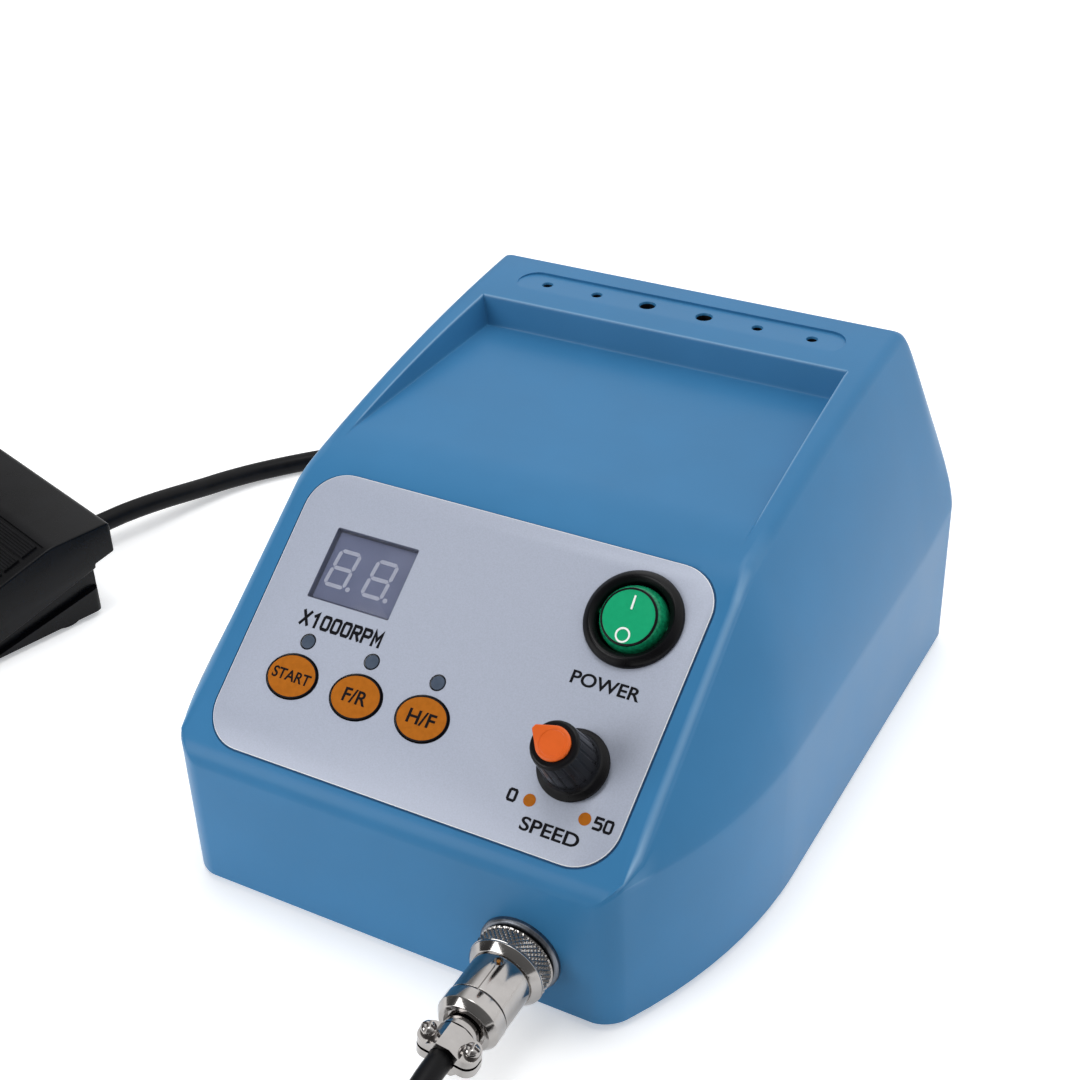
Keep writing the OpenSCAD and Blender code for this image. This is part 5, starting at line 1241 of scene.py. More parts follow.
class MICROMOTOR_OT_overlay(bpy.types.Operator):
    """Lay the silver film on the panel and print its words"""
    bl_idname = "micromotor.overlay"
    bl_label = "Overlay and print"

    def execute(self, context):
        panel = sizes(settings().panel)
        top = panel.overlay_t
        film = prism(overlay_outline(), 0.02, top)
        softened(film, 0.24, 2, 60)
        boolean(film, panel_openings(-1, 2, 0.4, 0.2))
        # The bevelled edge faces get the near-white finish: a painted highlight round the film
        two_finishes(film, silver_film(), film_edge_highlight(), lambda face: face.normal.z <= 0.98)
        keep(film, "silver_overlay", silver_film(), panel_frame(), nodes=("panel_overlay",))
        # Dark ring in the groove under the film's edge: painted shade of the gap round the film
        gap_ring = prism(overlay_outline(0.22), -0.29, -0.15)
        boolean(gap_ring, prism(overlay_outline(-0.05), -1, 1))
        keep(gap_ring, "adhesive_edge", painted_gap_shade(), panel_frame(), flat=True)
        ink = (top - 0.02, top + 0.05)
        keys = key_places(panel)
        words = [drawn("X1000RPM", (-40.1, -18.2, -3.0, 0.6), *ink),
                 word("POWER", (28.6, 45.2, 2.5, 5.6), *ink),
                 word("SPEED", (30.6, 44.5, -31.3, -28.2), *ink),
                 drawn("0", (25.35, 27.45, -26.2, -23.4), *ink),
                 drawn("50", (46.1, 50.4, -26.2, -23.4), *ink)]
        keep(joined(words), "panel_words", dark_ink(), panel_frame(), flat=True)
        dots = [moved(rod(2.85, *ink, 40), shift(u, v))
                for u, v in ((30.57, -24.73), (43.83, -24.74))]
        keep(joined(dots), "scale_dots", orange_ink(), panel_frame(), flat=True)
        rings = [moved(ring_print((panel.lamp_d + 0.65,) * 2, (panel.lamp_d + 0.2,) * 2, *ink, 40),
                       shift(u, LAMP_V)) for u in keys]
        rings += [moved(ring_print((panel.key_w + 1.05, panel.key_h + 0.6),
                                   (panel.key_w + 0.5, panel.key_h + 0.5), *ink), shift(u, KEY_V))
                  for u in keys]
        keep(joined(rings), "key_and_lamp_rings", dark_ink(), panel_frame(), flat=True)
        return {'FINISHED'}


def segment(a, b, w):
    """Six-sided bar of a seven-segment digit from one point to another."""
    a, b = Vector(a), Vector(b)
    on = (b - a).normalized() * (w / 2)
    off = Vector((-on.y, on.x))
    return [a, a + on + off, b - on + off, b, b - on - off, a + on - off]


class MICROMOTOR_OT_display(bpy.types.Operator):
    """Set the two-digit display behind its window"""
    bl_idname = "micromotor.display"
    bl_label = "Display"

    def execute(self, context):
        panel = sizes(settings().panel)
        w, h = panel.window_w, panel.window_h
        face, back = -0.75, -9.0
        case = prism(plate(w - 1.2, h - 1.2, 0.4, 4), back, face)
        softened(case, 0.15, 2, 60)
        keep(case, "display_block", display_face(), panel_frame(*WINDOW),
             nodes=("led_display",))
        digit_w, digit_h, bar, lean = 5.2, 8.8, 0.95, 0.09
        parts = []
        for left, base in ((-39.1, 8.3), (-28.75, 8.3)):
            def at(x, y):
                return (left + x + y * lean, base + y)
            half = digit_h / 2
            bars = (((0, half), (0, digit_h)), ((0, 0), (0, half)), ((digit_w, half), (digit_w, digit_h)),
                    ((digit_w, 0), (digit_w, half)), ((0, 0), (digit_w, 0)), ((0, half), (digit_w, half)),
                    ((0, digit_h), (digit_w, digit_h)))
            for a, b in bars:
                a, b = Vector(at(*a)), Vector(at(*b))
                inset = (b - a).normalized() * 0.12
                parts.append(prism(segment(a + inset, b - inset, bar), face - 0.1, face + 0.06))
            parts.append(moved(rod(1.2, face - 0.1, face + 0.06, 24), shift(left + digit_w + 1.3, base)))
        keep(joined(parts), "display_segments", segment_white(), panel_frame(), flat=True)
        lining = prism(plate(w - 0.02, h - 0.02, 0.48, 4), -2.6, panel.overlay_t)
        boolean(lining, prism(plate(w - 0.26, h - 0.26, 0.36, 4), -4, 2))
        keep(lining, "window_lining", frame_ink(), panel_frame(*WINDOW))
        pane = prism(plate(w - 0.3, h - 0.3, 0.3, 4), -0.55, -0.2)
        softened(pane, 0.08, 2, 60)
        keep(pane, "display_pane", clear_acrylic(), panel_frame(*WINDOW),
             nodes=("display_window",))
        return {'FINISHED'}


class MICROMOTOR_OT_keys(bpy.types.Operator):
    """Model the three oval keys with their words, and the lamps above them"""
    bl_idname = "micromotor.keys"
    bl_label = "Keys and lamps"

    def execute(self, context):
        panel = sizes(settings().panel)
        top = panel.overlay_t + 0.35
        names = (("start_key", "START", (5.1, 1.35)), ("direction_key", "F/R", (3.1, 1.7)),
                 ("hand_foot_key", "H/F", (3.5, 1.7)))
        for u, (node, text, (reach, tall)) in zip(key_places(panel), names):
            place = panel_frame(u, KEY_V)
            key = prism(ellipse(panel.key_w, panel.key_h), -3.6, top)
            flange = prism(ellipse(panel.key_w + 2, panel.key_h + 2), -4.9, -3.55)
            boolean(key, flange, 'UNION')
            softened(key, 0.14, 2, 60)
            keep(key, node + "_top", dark_ink(), place, body=node, nodes=(node,))
            face = prism(ellipse(panel.key_w - 0.35, panel.key_h - 0.75), top - 0.02, top + 0.03)
            keep(face, node + "_print", orange_ink(), place, body=node, flat=True)
            print_on = word(text, (-reach, reach, -tall, tall), top + 0.02, top + 0.07)
            keep(print_on, node + "_word", dark_ink(), place, body=node, flat=True)
        lamps = []
        for u in key_places(panel):
            r = panel.lamp_d / 2
            lens = turned([(0, -9), (r + 0.4, -9), (r + 0.4, -7.8), (r, -7.8), (r, panel.overlay_t, 0.15),
                           (0, panel.overlay_t)], 40)
            lamps.append(moved(lens, shift(u, LAMP_V)))
        keep(joined(lamps), "lamp_lenses", lamp_lens(), panel_frame(),
             nodes=("indicator_lamps",))
        return {'FINISHED'}


class MICROMOTOR_OT_switch(bpy.types.Operator):
    """Model the round rocker switch"""
    bl_idname = "micromotor.switch"
    bl_label = "Power switch"

    def execute(self, context):
        panel = sizes(settings().panel)
        t, h = panel.overlay_t, panel.bezel_h
        r, barrel, ball = panel.bezel_d / 2, panel.barrel_d / 2, panel.rocker_d / 2
        pivot = t - 1.0
        well = ball + 0.5
        depth = pivot - ball - 0.5
        body = turned([(0, -16), (barrel, -16, 0.5), (barrel, t), (r, t, 0.2), (r, t + h * 0.45, 0.8),
                       (r - 1.5, t + h, 1.4), (well + 1.2, t + h, 0.4), (well, t + h - 0.9, 0.3),
                       (well, depth), (0, depth)], 96)
        axle = moved(rod(2.1, -9.3, 9.3, 24), shift(0, 0, pivot) @ spin(90, 'Y'))
        boolean(body, axle)
        keep(body, "switch_bezel", black_abs(), panel_frame(*SWITCH), nodes=("switch_body",))
        blades = [block((-2.4, 2.4), (v - 0.4, v + 0.4), (-24, -15.9), 0.15, 2) for v in (-5, 5)]
        keep(joined(blades), "switch_blades", nickel(), panel_frame(*SWITCH))
        lift = math.sqrt(ball ** 2 - (panel.rocker_face_d / 2) ** 2)
        arc = [(ball * math.cos(a), ball * math.sin(a))
               for a in (math.asin(-0.55) + (math.asin(lift / ball) - math.asin(-0.55)) * i / 10
                         for i in range(11))]
        arc[-1] = (*arc[-1], 0.5)
        face = panel.rocker_face_d / 2
        place = panel_frame(*SWITCH, pivot) @ spin(ROCKER_TILT, 'X')
        rocker = turned([(0, -0.55 * ball)] + arc + [(face - 1.1, lift - 0.05, 0.3), (0, lift - 0.35)], 72)
        pin = moved(rod(2, -9.06, 9.06, 24), spin(90, 'Y'))
        boolean(rocker, pin, 'UNION')
        # The rocker's side faces take the darker green: painted shade
        two_finishes(rocker, green_polycarbonate(), green_painted_shade(), lambda side: side.normal.z <= 0.9)
        keep(rocker, "rocker_lens", green_polycarbonate(), place, body="rocker",
             nodes=("power_rocker",))
        bar = prism(plate(0.44, 3.2, 0.12, 3), lift - 0.4, lift - 0.02)
        moved(bar, shift(0, 3.3))
        nought = moved(ring_print((3.5, 3.5), (2.66, 2.66), lift - 0.4, lift - 0.02, 40), shift(0, -4.2))
        keep(joined([bar, nought]), "rocker_marks", white_paint(), place, body="rocker",
             flat=True)
        rim = turned([(face - 0.35, lift - 0.4), (face + 0.22, lift - 0.4),
                      (face + 0.08, lift + 0.05, 0.12), (face - 0.35, lift + 0.06, 0.1)], 72)
        keep(rim, "rocker_rim", black_abs(), place, body="rocker")
        return {'FINISHED'}


class MICROMOTOR_OT_knob(bpy.types.Operator):
    """Model the fluted speed knob and its pointer cap"""
    bl_idname = "micromotor.knob"
    bl_label = "Speed knob"

    def execute(self, context):
        panel = sizes(settings().panel)
        foot = panel.overlay_t + 0.4
        top = foot + panel.knob_h
        skirt, root, r = panel.skirt_d / 2, panel.knob_root_d / 2, panel.knob_d / 2
        knob = turned([(0, foot), (skirt - 0.3, foot, 0.2), (skirt, foot + 0.4, 0.2),
                       (skirt, foot + 0.95, 0.3), (skirt - 0.9, foot + 1.65, 0.5),
                       (root + 0.5, foot + 2.0, 0.6), (root, foot + 2.8, 0.6), (r, top - 0.5, 0.4),
                       (r - 0.5, top, 0.3), (0, top)], 108)
        tools = []
        for i in range(panel.flutes):
            a = 2 * math.pi * (i + 0.5) / panel.flutes
            flute = rod(1.3, 5.0, top + 2, 16)
            lean = Matrix.Rotation(math.atan((root - r) / (panel.knob_h - 3)), 4, 'Y')
            tools.append(moved(flute, Matrix.Rotation(a, 4, 'Z') @ shift(r + 0.5, 0, top) @ lean.inverted()
                               @ shift(0, 0, -top)))
        boolean(knob, joined(tools))
        boolean(knob, joined([rod(10.6, foot - 1, 4.3, 32), rod(6.1, 4.3, 11.3, 24)]))
        softened(knob, 0.08, 1, 40)
        keep(knob, "fluted_knob", black_abs(), panel_frame(*KNOB), body="knob",
             nodes=("speed_knob",))
        c = panel.cap_d / 2 - 0.35
        a0 = math.radians(50)
        drop = [(c * math.cos(a), c * math.sin(a))
                for a in (a0 + (2 * math.pi - 2 * a0) * i / 40 for i in range(41))]
        drop += [(5.8, -0.55), (5.8, 0.55)]
        cap = prism(drop, top - 0.02, top + 1.2)
        boolean(cap, turned([(0, top + 1.05), (c - 1.0, top + 1.05, 0.1), (c - 0.75, top + 1.3),
                             (0, top + 1.3)], 48))
        softened(cap, 0.32, 3, 50)
        boolean(cap, rod(panel.cap_d - 2, top - 1, top + 0.3, 40), 'UNION')
        keep(cap, "pointer_cap", orange_abs(), panel_frame(*KNOB) @ spin(POINTER_TURN, 'Z'),
             body="knob", nodes=("knob_cap",))
        return {'FINISHED'}


def knurled(corners, low, high, depth, teeth, steps):
    """Turned ring with a diamond knurl pressed into it between two heights."""
    ring = turned(corners, steps)
    outer = max(c[0] for c in corners)
    pitch = 2 * math.pi * outer / teeth
    for vertex in ring.data.vertices:
        x, y, z = vertex.co
        r = math.hypot(x, y)
        if r < outer - 0.02 or not low - 0.01 <= z <= high + 0.01:
            continue
        turn = math.atan2(y, x) / (2 * math.pi) * teeth
        along = (z - low) / pitch
        left, right = (abs(((turn + s * along) % 1) * 2 - 1) for s in (-1, 1))
        edge = min(1, (z - low) / 0.3, (high - z) / 0.3)
        k = 1 - depth * (1 - min(left, right)) * max(edge, 0) / r
        vertex.co = (x * k, y * k, z)
    return ring


# Along the plug, from the front wall: latch hole, groove, end of the barrel, neck and end of the clamp
LATCH_Z, GROOVE_Z, BARREL_Z, NECK_Z, CLAMP_Z = 10.3, 18.69, 22.2, 26.6, 33.1


class MICROMOTOR_OT_connector(bpy.types.Operator):
    """Turn the motor socket, the knurled ring, the plug and its cable clamp"""
    bl_idname = "micromotor.connector"
    bl_label = "Motor connector"

    def execute(self, context):
        plug = sizes(settings().plug)
        place = plug_frame()
        shell, ring = plug.shell_d / 2, plug.ring_d / 2
        flange = plug.flange_d / 2
        socket = turned([(0, -18.6), (7.8, -18.6), (7.8, 0), (flange + 0.4, 0), (flange + 0.4, 0.8, 0.15),
                         (flange, 1.35, 0.1), (flange - 0.5, 1.5, 0.1), (7.3, 1.5), (7.3, 6.1, 0.4),
                         (0, 6.1)], 72)
        keep(socket, "socket_flange", dark_alloy(), place, nodes=("motor_socket",))
        teeth, rows, low = 44, 26, 2.3
        pitch = 2 * math.pi * ring / teeth / 8
        high = low + rows * pitch
        fine = [(ring, low + pitch * i) for i in range(rows + 1)]
        collar = knurled([(8.0, 2.0), (ring - 0.5, 2.0), (ring - 0.1, 2.15)] + fine +
                         [(ring - 0.1, high + 0.1), (ring - 0.1, 6.95, 0.1), (shell + 0.4, 8.7, 0.15),
                          (shell + 0.05, 8.7), (shell + 0.05, 7.7),
                          (8.0, 7.7)], low, high, 0.5, teeth, 8 * teeth)
        keep(collar, "knurled_ring", nickel(), place, body="coupling_ring",
             nodes=("coupling_ring",))
        roll = place @ Matrix.Rotation(PLUG_ROLL, 4, 'Z')
        groove, end, neck = GROOVE_Z, BARREL_Z, NECK_Z
        barrel = turned([(0, 6.5), (7.6, 6.5), (7.6, 7.4), (shell, 7.4), (shell, groove, 0.1),
                         (shell - 0.35, groove + 0.08), (shell - 0.35, groove + 0.4),
                         (shell + 0.18, groove + 0.5, 0.1), (shell + 0.18, end + 0.3, 0.2),
                         (shell - 1.1, end + 2.0, 0.2), (4.9, end + 2.0, 0.1), (4.9, end + 1.0),
                         (4.2, end + 1.0), (4.2, neck), (0, neck)], 96)
        turn = Matrix.Rotation(math.radians(-6) - PLUG_ROLL, 4, 'Z')
        latch = turn @ shift(0, 0, LATCH_Z) @ spin(-90, 'X')
        boolean(barrel, moved(rod(2.2, 6.5, 9, 24), latch))
        boolean(barrel, moved(block((-0.18, 0.18), (shell - 0.4, 9), (LATCH_Z, groove + 0.1)), turn))
        pin = moved(rod(0.9, 6.4, 7.2, 24), latch)
        keep(pin, "latch_pin", copper(), roll)
        middle = (neck + CLAMP_Z) / 2
        sideways = shift(0, 0, middle) @ spin(-90, 'X')
        at = plug.clamp_w / 2 - 1.9

        def half_clamp(arch, low, high, back, bore):
            """Arch over the cord with an ear at each side, drilled for the screws."""
            half = prism(arch, back, CLAMP_Z)
            boolean(half, moved(prism(plate(plug.clamp_w, CLAMP_Z - back, 2.6, 6), low, high),
                                shift(0, 0, (back - neck) / 2) @ sideways), 'UNION')
            boolean(half, joined([moved(rod(bore, -9, 9, 20), sideways @ shift(s * at, 0))
                                  for s in (-1, 1)]))
            boolean(half, rod(plug.motor_cord_d + 0.3, 20, 40, 40))
            return softened(half, 0.35, 1, 40)
        under = half_clamp([(-3.9, -0.4), (-3.9, -2.2), (-2.4, -3.9), (2.4, -3.9), (3.9, -2.2),
                            (3.9, -0.4)],
                           -2.6, -0.4, neck, 2.1)
        boolean(barrel, rod(plug.motor_cord_d + 0.3, end + 0.3, 34, 40))
        boolean(barrel, under, 'UNION')
        keep(barrel, "plug_barrel", nickel(), roll, nodes=("plug_shell",))
        over = half_clamp([(3.9, 0.4), (3.9, 2.2), (1.6, 4.0), (-1.6, 4.0), (-3.9, 2.2), (-3.9, 0.4)],
                          0.4, 2.2, neck + 0.25, 2.5)
        keep(over, "cord_saddle", nickel(), roll, nodes=("cable_clamp",))
        screws = []
        for s in (-1, 1):
            screw = turned([(0, -6.5), (0.95, -6.5, 0.3), (0.95, 0), (1.8, 0), (1.8, 0.9, 0.4),
                            (1.2, 1.75, 0.6), (0, 1.8)], 40)
            for x, y in ((3, 0.3), (0.3, 3)):
                boolean(screw, block((-x, x), (-y, y), (1.0, 3)))
            screws.append(moved(screw, sideways @ shift(s * at, 0, 2.2)))
        keep(joined(screws), "saddle_screws", nickel(), roll, nodes=("clamp_screws",))
        return {'FINISHED'}


class MICROMOTOR_OT_rear(bpy.types.Operator):
    """Model the mains inlet, the fuse holder, the pedal socket and its plug"""
    bl_idname = "micromotor.rear"
    bl_label = "Rear wall"

    def execute(self, context):
        inlet = block((-15.5, 15.5), (-12, 12), (0, 2), 0.6)
        boolean(inlet, prism(plate(27.2, 20, 1.5), -17, 0.5), 'UNION')
        well = [(-12, -8.2, 1), (12, -8.2, 1), (12, 4.2), (8.2, 8.2), (-8.2, 8.2), (-12, 4.2)]
        boolean(inlet, prism(rounded(well), -15, 3))
        keep(inlet, "inlet_body", black_abs(), rear_frame(INLET_X), nodes=("mains_inlet",))
        pins = [block((x - 2, x + 2), (y - 1, y + 1), (-16, -3), 0.4) for x, y in ((-7, 0), (0, 4), (7, 0))]
        keep(joined(pins), "inlet_pins", nickel(), rear_frame(INLET_X))
        cap = turned([(0, -28), (5.5, -28, 0.5), (5.5, 0), (6.5, 0), (6.5, 1.4, 0.4), (5.6, 1.6),
                      (5.6, 3.6, 0.4), (5.0, 4.0, 0.3), (0, 4.0)], 72)
        boolean(cap, block((-4.6, 4.6), (-0.6, 0.6), (2.8, 6)))
        keep(cap, "fuse_cap", black_abs(), rear_frame(FUSE_X), nodes=("fuse_holder",))
        nut = rod(12, 0, 2.2, 6)
        softened(nut, 0.3, 2)
        boolean(nut, rod(8, -4.6, 2.7, 48), 'UNION')
        boolean(nut, block((-6, 6), (-6, 6), (-18.6, -4.1), 0.5), 'UNION')
        boolean(nut, rod(4.2, -16.6, 5, 32))
        keep(nut, "jack_nut", nickel(), rear_frame(JACK_X), nodes=("pedal_socket",))
        grip = [(5.5 - (0.5 if i % 2 else 0), 6 + i * 1.3, 0.2) for i in range(8)]
        end = [(5.5, 19.4, 0.6), (4.5, 20.2, 0.4), (4.2, 24, 0.4), (3.8, 28, 0.3), (0, 28)]
        body = turned([(0, 3), (5.5, 3, 0.6)] + grip + end, 64)
        keep(body, "pedal_plug_grip", rubber_and_hole_shade(), rear_frame(JACK_X), nodes=("pedal_plug",))
        pin = turned([(0, -14.6), (0.8, -14.6, 0.3), (1.75, -13.2, 0.4), (1.75, -11.6, 0.2),
                      (1.3, -11, 0.2), (1.75, -10.2, 0.2), (1.75, 3.2), (0, 3.2)], 40)
        keep(pin, "pedal_plug_pin", nickel(), rear_frame(JACK_X))
        return {'FINISHED'}


def tread_height(pedal, y):
    """Top of the treadle."""
    return pedal.pedal_h - max(0, -y - pedal.level) * TREAD_SLOPE


def across(outline, left, right):
    """Side view in (y, z) extruded from one x to another."""
    obj = prism(outline, left, right)
    return moved(obj, Matrix(((0, 0, 1, 0), (1, 0, 0, 0), (0, 1, 0, 0), (0, 0, 0, 1))))


# Places in the pedal: hinge, spring, sensor and grommet
HINGE_Y, HINGE_Z = -72, 6.6
SPRING_Y, SENSOR_Y = -24, -48
GROMMET_X, GROMMET_Z = -32, 8

# Return spring of the treadle: wire, radius of the coil, turns, and how far it is pressed
SPRING_WIRE, SPRING_R, SPRING_TURNS, SPRING_STROKE = 1.2, 5.4, 7, 4.7


def hinge(x):
    """Place on the treadle's hinge, with z along its pin."""
    return shift(x, HINGE_Y, HINGE_Z) @ spin(90, 'Y')


class MICROMOTOR_OT_pedal(bpy.types.Operator):
    """Mould the pedal: treadle with ribbed grip, base, feet and cord grommet"""
    bl_idname = "micromotor.pedal"
    bl_label = "Foot pedal"

    def execute(self, context):
        pedal = sizes(settings().pedal)
        w, h, nose = pedal.pedal_w, pedal.pedal_h, -pedal.pedal_l
        place = pedal_frame()
        nose_top = tread_height(pedal, nose + 5)
        low = h - pedal.side_h
        run = (low - 3.2) / TREAD_SLOPE
        side = [(0, h - pedal.skirt_h, 0.6), (0, h, 1.6), (-pedal.level, h, 2), (nose + 5, nose_top, 3),
                (nose + 1.5, nose_top - 2.6, 2), (nose, nose_top - 5, 2), (nose, 3.2),
                (-pedal.level - run, 3.2), (-pedal.level, low, 1),
                (-pedal.overhang, low + (pedal.level - pedal.overhang) * TREAD_SLOPE),
                (-pedal.overhang, h - pedal.skirt_h - 1.6)]
        tread = across(rounded(side), -w, 0)
        softened(tread, 0.9, 3, 60)
        t, t_in = pedal.tread_t, pedal.tread_t + 0.3
        hollow = [(-t, -1), (-t, h - t_in), (-pedal.level - 0.3, h - t_in), (nose + 5.6, nose_top - t_in),
                  (nose + t, nose_top - 6), (nose + t, -1)]
        boolean(tread, across(hollow, -w + t, -t))
        start, end = pedal.level + 1, pedal.pedal_l - 8

        def strip(y0, y1, under, over):
            a, b = tread_height(pedal, -y0), tread_height(pedal, -y1)
            return [(-y0, a + under), (-y1, b + under), (-y1, b + over), (-y0, a + over)]
        boolean(tread, across(strip(start, end, -0.6, 1), -w + 2.2, -2.2))
        for x in (-22, -w + 14):
            boolean(tread, moved(rod(6, 0, 8, 40), hinge(x)), 'UNION')
            roof = tread_height(pedal, HINGE_Y - 3) - 1
            boolean(tread, block((x, x + 8), (HINGE_Y - 3, HINGE_Y + 3), (HINGE_Z, roof)), 'UNION')
        boolean(tread, moved(rod(3.7, -w, 0, 32), hinge(0)))
        seat = tread_height(pedal, SENSOR_Y) - t_in
        post = rod(12, seat - 4, seat - 0.2, 40)
        boolean(post, rod(8.5, seat - 5, seat - 0.8, 32))
        boolean(tread, moved(post, shift(-w / 2, SENSOR_Y)), 'UNION')
        keep(tread, "treadle_shell", black_abs(), place, body="treadle",
             nodes=("pedal_treadle",))
        bars = int((end - start - pedal.bar_gap) / pedal.bar_pitch)
        ribs = []
        pitch = (pedal.bar_pitch - pedal.bar_gap) / pedal.ribs
        for i in range(bars):
            for k in range(pedal.ribs):
                y = start + pedal.bar_gap + i * pedal.bar_pitch + k * pitch
                a, b, c = (tread_height(pedal, -y - pitch * s) for s in (0, 0.5, 1))
                ribs.append(across([(-y, a - 0.7), (-y - pitch, c - 0.7), (-y - pitch, c - 0.3),
                                    (-y - pitch * 0.7, b - 0.02), (-y - pitch * 0.3, b + 0.06),
                                    (-y, a - 0.3)], -w + 4.8, -4.8))
        keep(joined(ribs), "treadle_grip", rubber_and_hole_shade(), place, body="treadle", angle=20)
        low, high = (corner.z / MM for corner in map(Vector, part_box("pedal_spring")))
        foot = place @ Vector((-w / 2, SPRING_Y, low))
        line = []
        steps = TURN_STEPS * SPRING_TURNS
        for k in range(steps + 1):
            a = 2 * math.pi * k / TURN_STEPS
            rise = low + SPRING_WIRE / 2 + (high - low - SPRING_WIRE) * k / steps
            line.append((-w / 2 + SPRING_R * math.cos(a), SPRING_Y + SPRING_R * math.sin(a), rise))
        only(wire("return_spring", line, SPRING_WIRE, 3))
        bpy.ops.object.convert(target='MESH')
        spring = keep(context.object, "return_spring", zinc_steel(), place,
                      nodes=("pedal_spring",))
        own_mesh(spring)
        under = [(-pedal.overhang, 1.7, 0.6), (-pedal.overhang, h - pedal.skirt_h - 2, 0.6),
                 (-pedal.level, h - pedal.skirt_h - 4.5), (-64, 5.5), (nose + 3.1, 5.5),
                 (nose + 3.1, 1.7, 0.6)]
        plinth = [(-pedal.overhang, 1.7), (-pedal.overhang, 9.45), (-pedal.level, 6.95), (-44, 2.0),
                  (-44, 1.7)]
        base = across(rounded(under), -w + 2.1, -2.1)
        boolean(base, across(plinth, -w + 0.4, -0.4), 'UNION')
        plan = [(-0.4, -pedal.overhang, 2.6), (-w + 0.4, -pedal.overhang, 2.6), (-w + 0.4, nose),
                (-0.4, nose)]
        boolean(base, prism(rounded(plan, 8), 0, 40), 'INTERSECT')
        softened(base, 0.4, 2, 60)
        boolean(base, block((-w + 3.9, -3.9), (nose + 4.9, -pedal.overhang - 1.8), (3.5, 40)))
        for x in (-13.5, -w + 7.5):
            boolean(base, moved(rod(6, 0, 6, 40), hinge(x)), 'UNION')
            boolean(base, block((x, x + 6), (HINGE_Y - 3, HINGE_Y + 3), (1.75, HINGE_Z)), 'UNION')
        boolean(base, moved(rod(3.7, -w + 7.3, -7.3, 32), hinge(0)))
        exit_hole = shift(GROMMET_X, -pedal.overhang, GROMMET_Z)
        boolean(base, moved(rod(8.9, -3, 3, 40), exit_hole @ spin(90, 'X')))
        boolean(base, moved(rod(8.6, 3.4, 6.4, 32), shift(-w / 2, SPRING_Y)), 'UNION')
        keep(base, "pedal_tray", black_abs(), place, nodes=("pedal_base",))
        feet = []
        for inset, y in ((7, -17), (9, nose + 16)):
            for x in (-inset, -w + inset):
                foot = turned([(0, 0), (5.2, 0, 0.5), (6, 0.9, 0.4), (6, 1.7), (0, 1.7)], 40)
                feet.append(moved(foot, shift(x, y)))
        keep(joined(feet), "pedal_pads", rubber_and_hole_shade(), place, nodes=("pedal_feet",))
        grommet = turned([(0, -3.3), (4.2, -3.3), (4.2, 0), (5.5, 0), (5.5, 1.6, 0.5), (4.1, 1.6, 0.3),
                          (4.0, 3.2, 0.3), (3.6, 3.6), (3.6, 4.2), (3.9, 4.6, 0.2), (3.8, 5.6, 0.2),
                          (3.5, 6), (3.5, 6.6), (3.8, 7.0, 0.2), (3.7, 8, 0.3), (0, 8)], 48)
        keep(grommet, "cord_grommet", rubber_and_hole_shade(), place @ exit_hole @ spin(-90, 'X'),
             nodes=("pedal_grommet",))
        return {'FINISHED'}


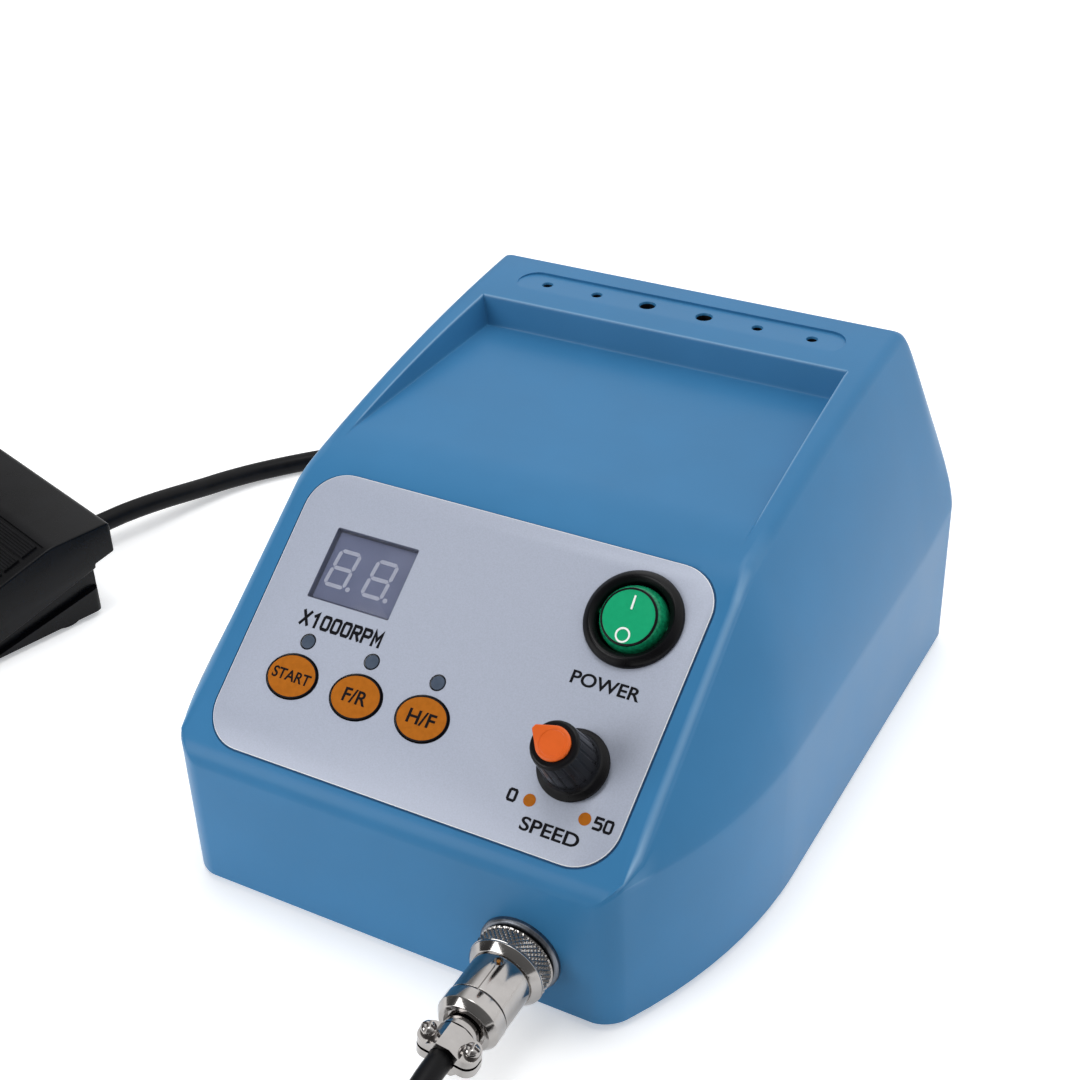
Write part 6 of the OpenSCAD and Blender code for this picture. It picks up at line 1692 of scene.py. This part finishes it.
class MICROMOTOR_OT_handpiece(bpy.types.Operator):
    """Turn the motor handpiece: boot, rear cap, sleeve, chuck ring and nose"""
    bl_idname = "micromotor.handpiece"
    bl_label = "Motor handpiece"

    def execute(self, context):
        hand, cord_d = sizes(settings().handpiece), sizes(settings().plug).motor_cord_d
        r, place = hand.hand_d / 2, hand_frame()
        cap, sleeve = hand.boot_l, hand.boot_l + hand.rear_cap_l
        chuck = sleeve + hand.sleeve_l + 0.25
        nose = chuck + hand.chuck_l + 0.25
        tip = nose + hand.nose_l
        ribs = []
        for i in range(5):
            base = cord_d / 2 + 1.2 + i * 0.7
            at = 2 + i * (hand.boot_l - 6) / 5
            ribs += [(base + 0.2, at), (base + 0.9, at + 0.3, 0.3), (base + 0.9, at + 1.9, 0.3),
                     (base + 0.2, at + 2.2)]
        end = [(r * 0.6, cap - 3, 0.5), (r * 0.6, cap), (0, cap)]
        boot = turned([(0, 0), (cord_d / 2 + 1, 0, 0.4)] + ribs + end, 64)
        keep(boot, "handpiece_cord_boot", rubber_and_hole_shade(), place, nodes=("handpiece_boot",))
        rear = turned([(0, cap), (r * 0.72, cap, 0.8), (r - 0.6, cap + hand.rear_cap_l * 0.5, 2),
                       (r - 0.6, sleeve - 0.25, 0.3), (0, sleeve - 0.25)], 96)
        keep(rear, "handpiece_end_cap", alloy(), place, nodes=("handpiece_rear_cap",))
        tube = turned([(2.6, sleeve), (r - 0.6, sleeve, 0.3), (r, sleeve + 0.8, 0.4), (r, sleeve + 10),
                       (r - 0.25, sleeve + 10.3), (r - 0.25, sleeve + 10.9), (r, sleeve + 11.2),
                       (r, chuck - 1.05, 0.4), (r - 0.6, chuck - 0.25, 0.3), (r - 1.6, chuck - 0.25),
                       (r - 1.6, sleeve + 11), (8.1, sleeve + 11), (8.1, sleeve + 4),
                       (2.6, sleeve + 4)], 96)
        keep(tube, "motor_sleeve", alloy(), place, nodes=("handpiece_sleeve",))
        collar = turned([(10.55, chuck), (r - 0.5, chuck, 0.2), (r - 0.2, chuck + 0.6, 0.3),
                         (r - 0.8, nose - 0.85, 0.3), (r - 1.4, nose - 0.25, 0.3),
                         (10.55, nose - 0.25)], 96)
        tools = [moved(rod(2.2, chuck + 3, nose - 3.25, 16), Matrix.Rotation(2 * math.pi * i / 24, 4, 'Z')
                       @ shift(r + 0.3, 0)) for i in range(24)]
        boolean(collar, joined(tools))
        keep(collar, "twist_ring", dark_alloy(), place, body="chuck_ring",
             nodes=("chuck_ring",))
        front = turned([(8.1, chuck - 5.25), (r - 1.85, chuck - 5.25), (r - 1.85, chuck - 0.25),
                        (10.5, chuck - 0.25), (10.5, nose), (r - 1.4, nose, 0.3),
                        (r - 1.8, nose + hand.nose_l * 0.3, 6),
                        (hand.tip_d / 2 + 2.4, nose + hand.nose_l * 0.72, 6),
                        (hand.tip_d / 2, tip - 1.5, 0.8), (hand.tip_d / 2 - 1, tip, 0.5), (3.8, tip),
                        (3.8, nose + 10), (8.1, nose + 10)], 96)
        keep(front, "handpiece_cone", alloy(), place, nodes=("handpiece_nose",))
        return {'FINISHED'}


class MICROMOTOR_OT_inside(bpy.types.Operator):
    """Finish the parts that keep their solids, and the rubber feet of the box"""
    bl_idname = "micromotor.inside"
    bl_label = "Inner parts"

    def execute(self, context):
        plain = {
            "base_plate": grey_abs, "base_screws": zinc_steel, "key_switches": black_abs,
            "display_board": circuit_board, "board_screws": zinc_steel, "main_board": circuit_board,
            "board_parts": board_plastic, "transformer_core": iron, "transformer_coil": copper,
            "pot_shaft": alloy, "potentiometer": zinc_steel, "pot_nut": nickel, "socket_nut": nickel,
            "motor_magnets": magnet, "motor_armature": copper, "spindle_bearings": zinc_steel,
            "collet": zinc_steel, "pedal_hinge_pin": zinc_steel, "pedal_sensor": circuit_board,
            "pedal_magnet": magnet}
        for node, make in plain.items():
            mesh = frame["nodes"][node].data
            mesh.materials.clear()
            mesh.materials.append(make())
        box = sizes(settings().housing)
        feet = []
        for y in (36, box.body_d - 40):
            for s in (-1, 1):
                foot = turned([(0, -2), (6.2, -2, 0.6), (7, -1.1, 0.4), (7, 0.3), (2.3, 0.3),
                               (2.3, 2.8, 0.4), (0, 2.8)], 48)
                feet.append(moved(foot, shift(s * 46, y - box.body_d / 2, box.foot_h)))
        keep(joined(feet), "box_feet", rubber_and_hole_shade(), nodes=("rubber_feet",))
        return {'FINISHED'}


class VIEW3D_PT_micromotor(bpy.types.Panel):
    """Sidebar list of the pieces and their sizes"""
    bl_label = "Micromotor set"
    bl_space_type = 'VIEW_3D'
    bl_region_type = 'UI'
    bl_category = "Micromotor"

    def draw(self, context):
        for operator in OPERATORS:
            self.layout.operator(operator.bl_idname)
        for name in ("housing", "panel", "plug", "pedal", "handpiece", "colours"):
            group = getattr(context.scene.micromotor, name)
            box = self.layout.box()
            box.label(text=name.capitalize())
            for key in group.bl_rna.properties.keys():
                if key not in ("rna_type", "name"):
                    box.prop(group, key)


OPERATORS = (
    MICROMOTOR_OT_stage, MICROMOTOR_OT_cords, MICROMOTOR_OT_housing, MICROMOTOR_OT_overlay,
    MICROMOTOR_OT_display, MICROMOTOR_OT_keys, MICROMOTOR_OT_switch, MICROMOTOR_OT_knob,
    MICROMOTOR_OT_connector, MICROMOTOR_OT_rear, MICROMOTOR_OT_pedal, MICROMOTOR_OT_handpiece,
    MICROMOTOR_OT_inside)
CLASSES = (HousingSizes, PanelSizes, PlugSizes, PedalSizes, HandpieceSizes, FinishColours,
           MicromotorSettings, *OPERATORS, VIEW3D_PT_micromotor)


def register():
    """Make the classes and the settings known."""
    for cls in CLASSES:
        bpy.utils.register_class(cls)
    bpy.types.Scene.micromotor = PointerProperty(type=MicromotorSettings)


def unregister():
    """Take the settings and the classes away again."""
    del bpy.types.Scene.micromotor
    for cls in reversed(CLASSES):
        bpy.utils.unregister_class(cls)


def main():
    """Run every operator in turn."""
    register()
    for operator in OPERATORS:
        group, name = operator.bl_idname.split(".")
        getattr(getattr(bpy.ops, group), name)()
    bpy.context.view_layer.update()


if __name__ == "__main__":
    main()
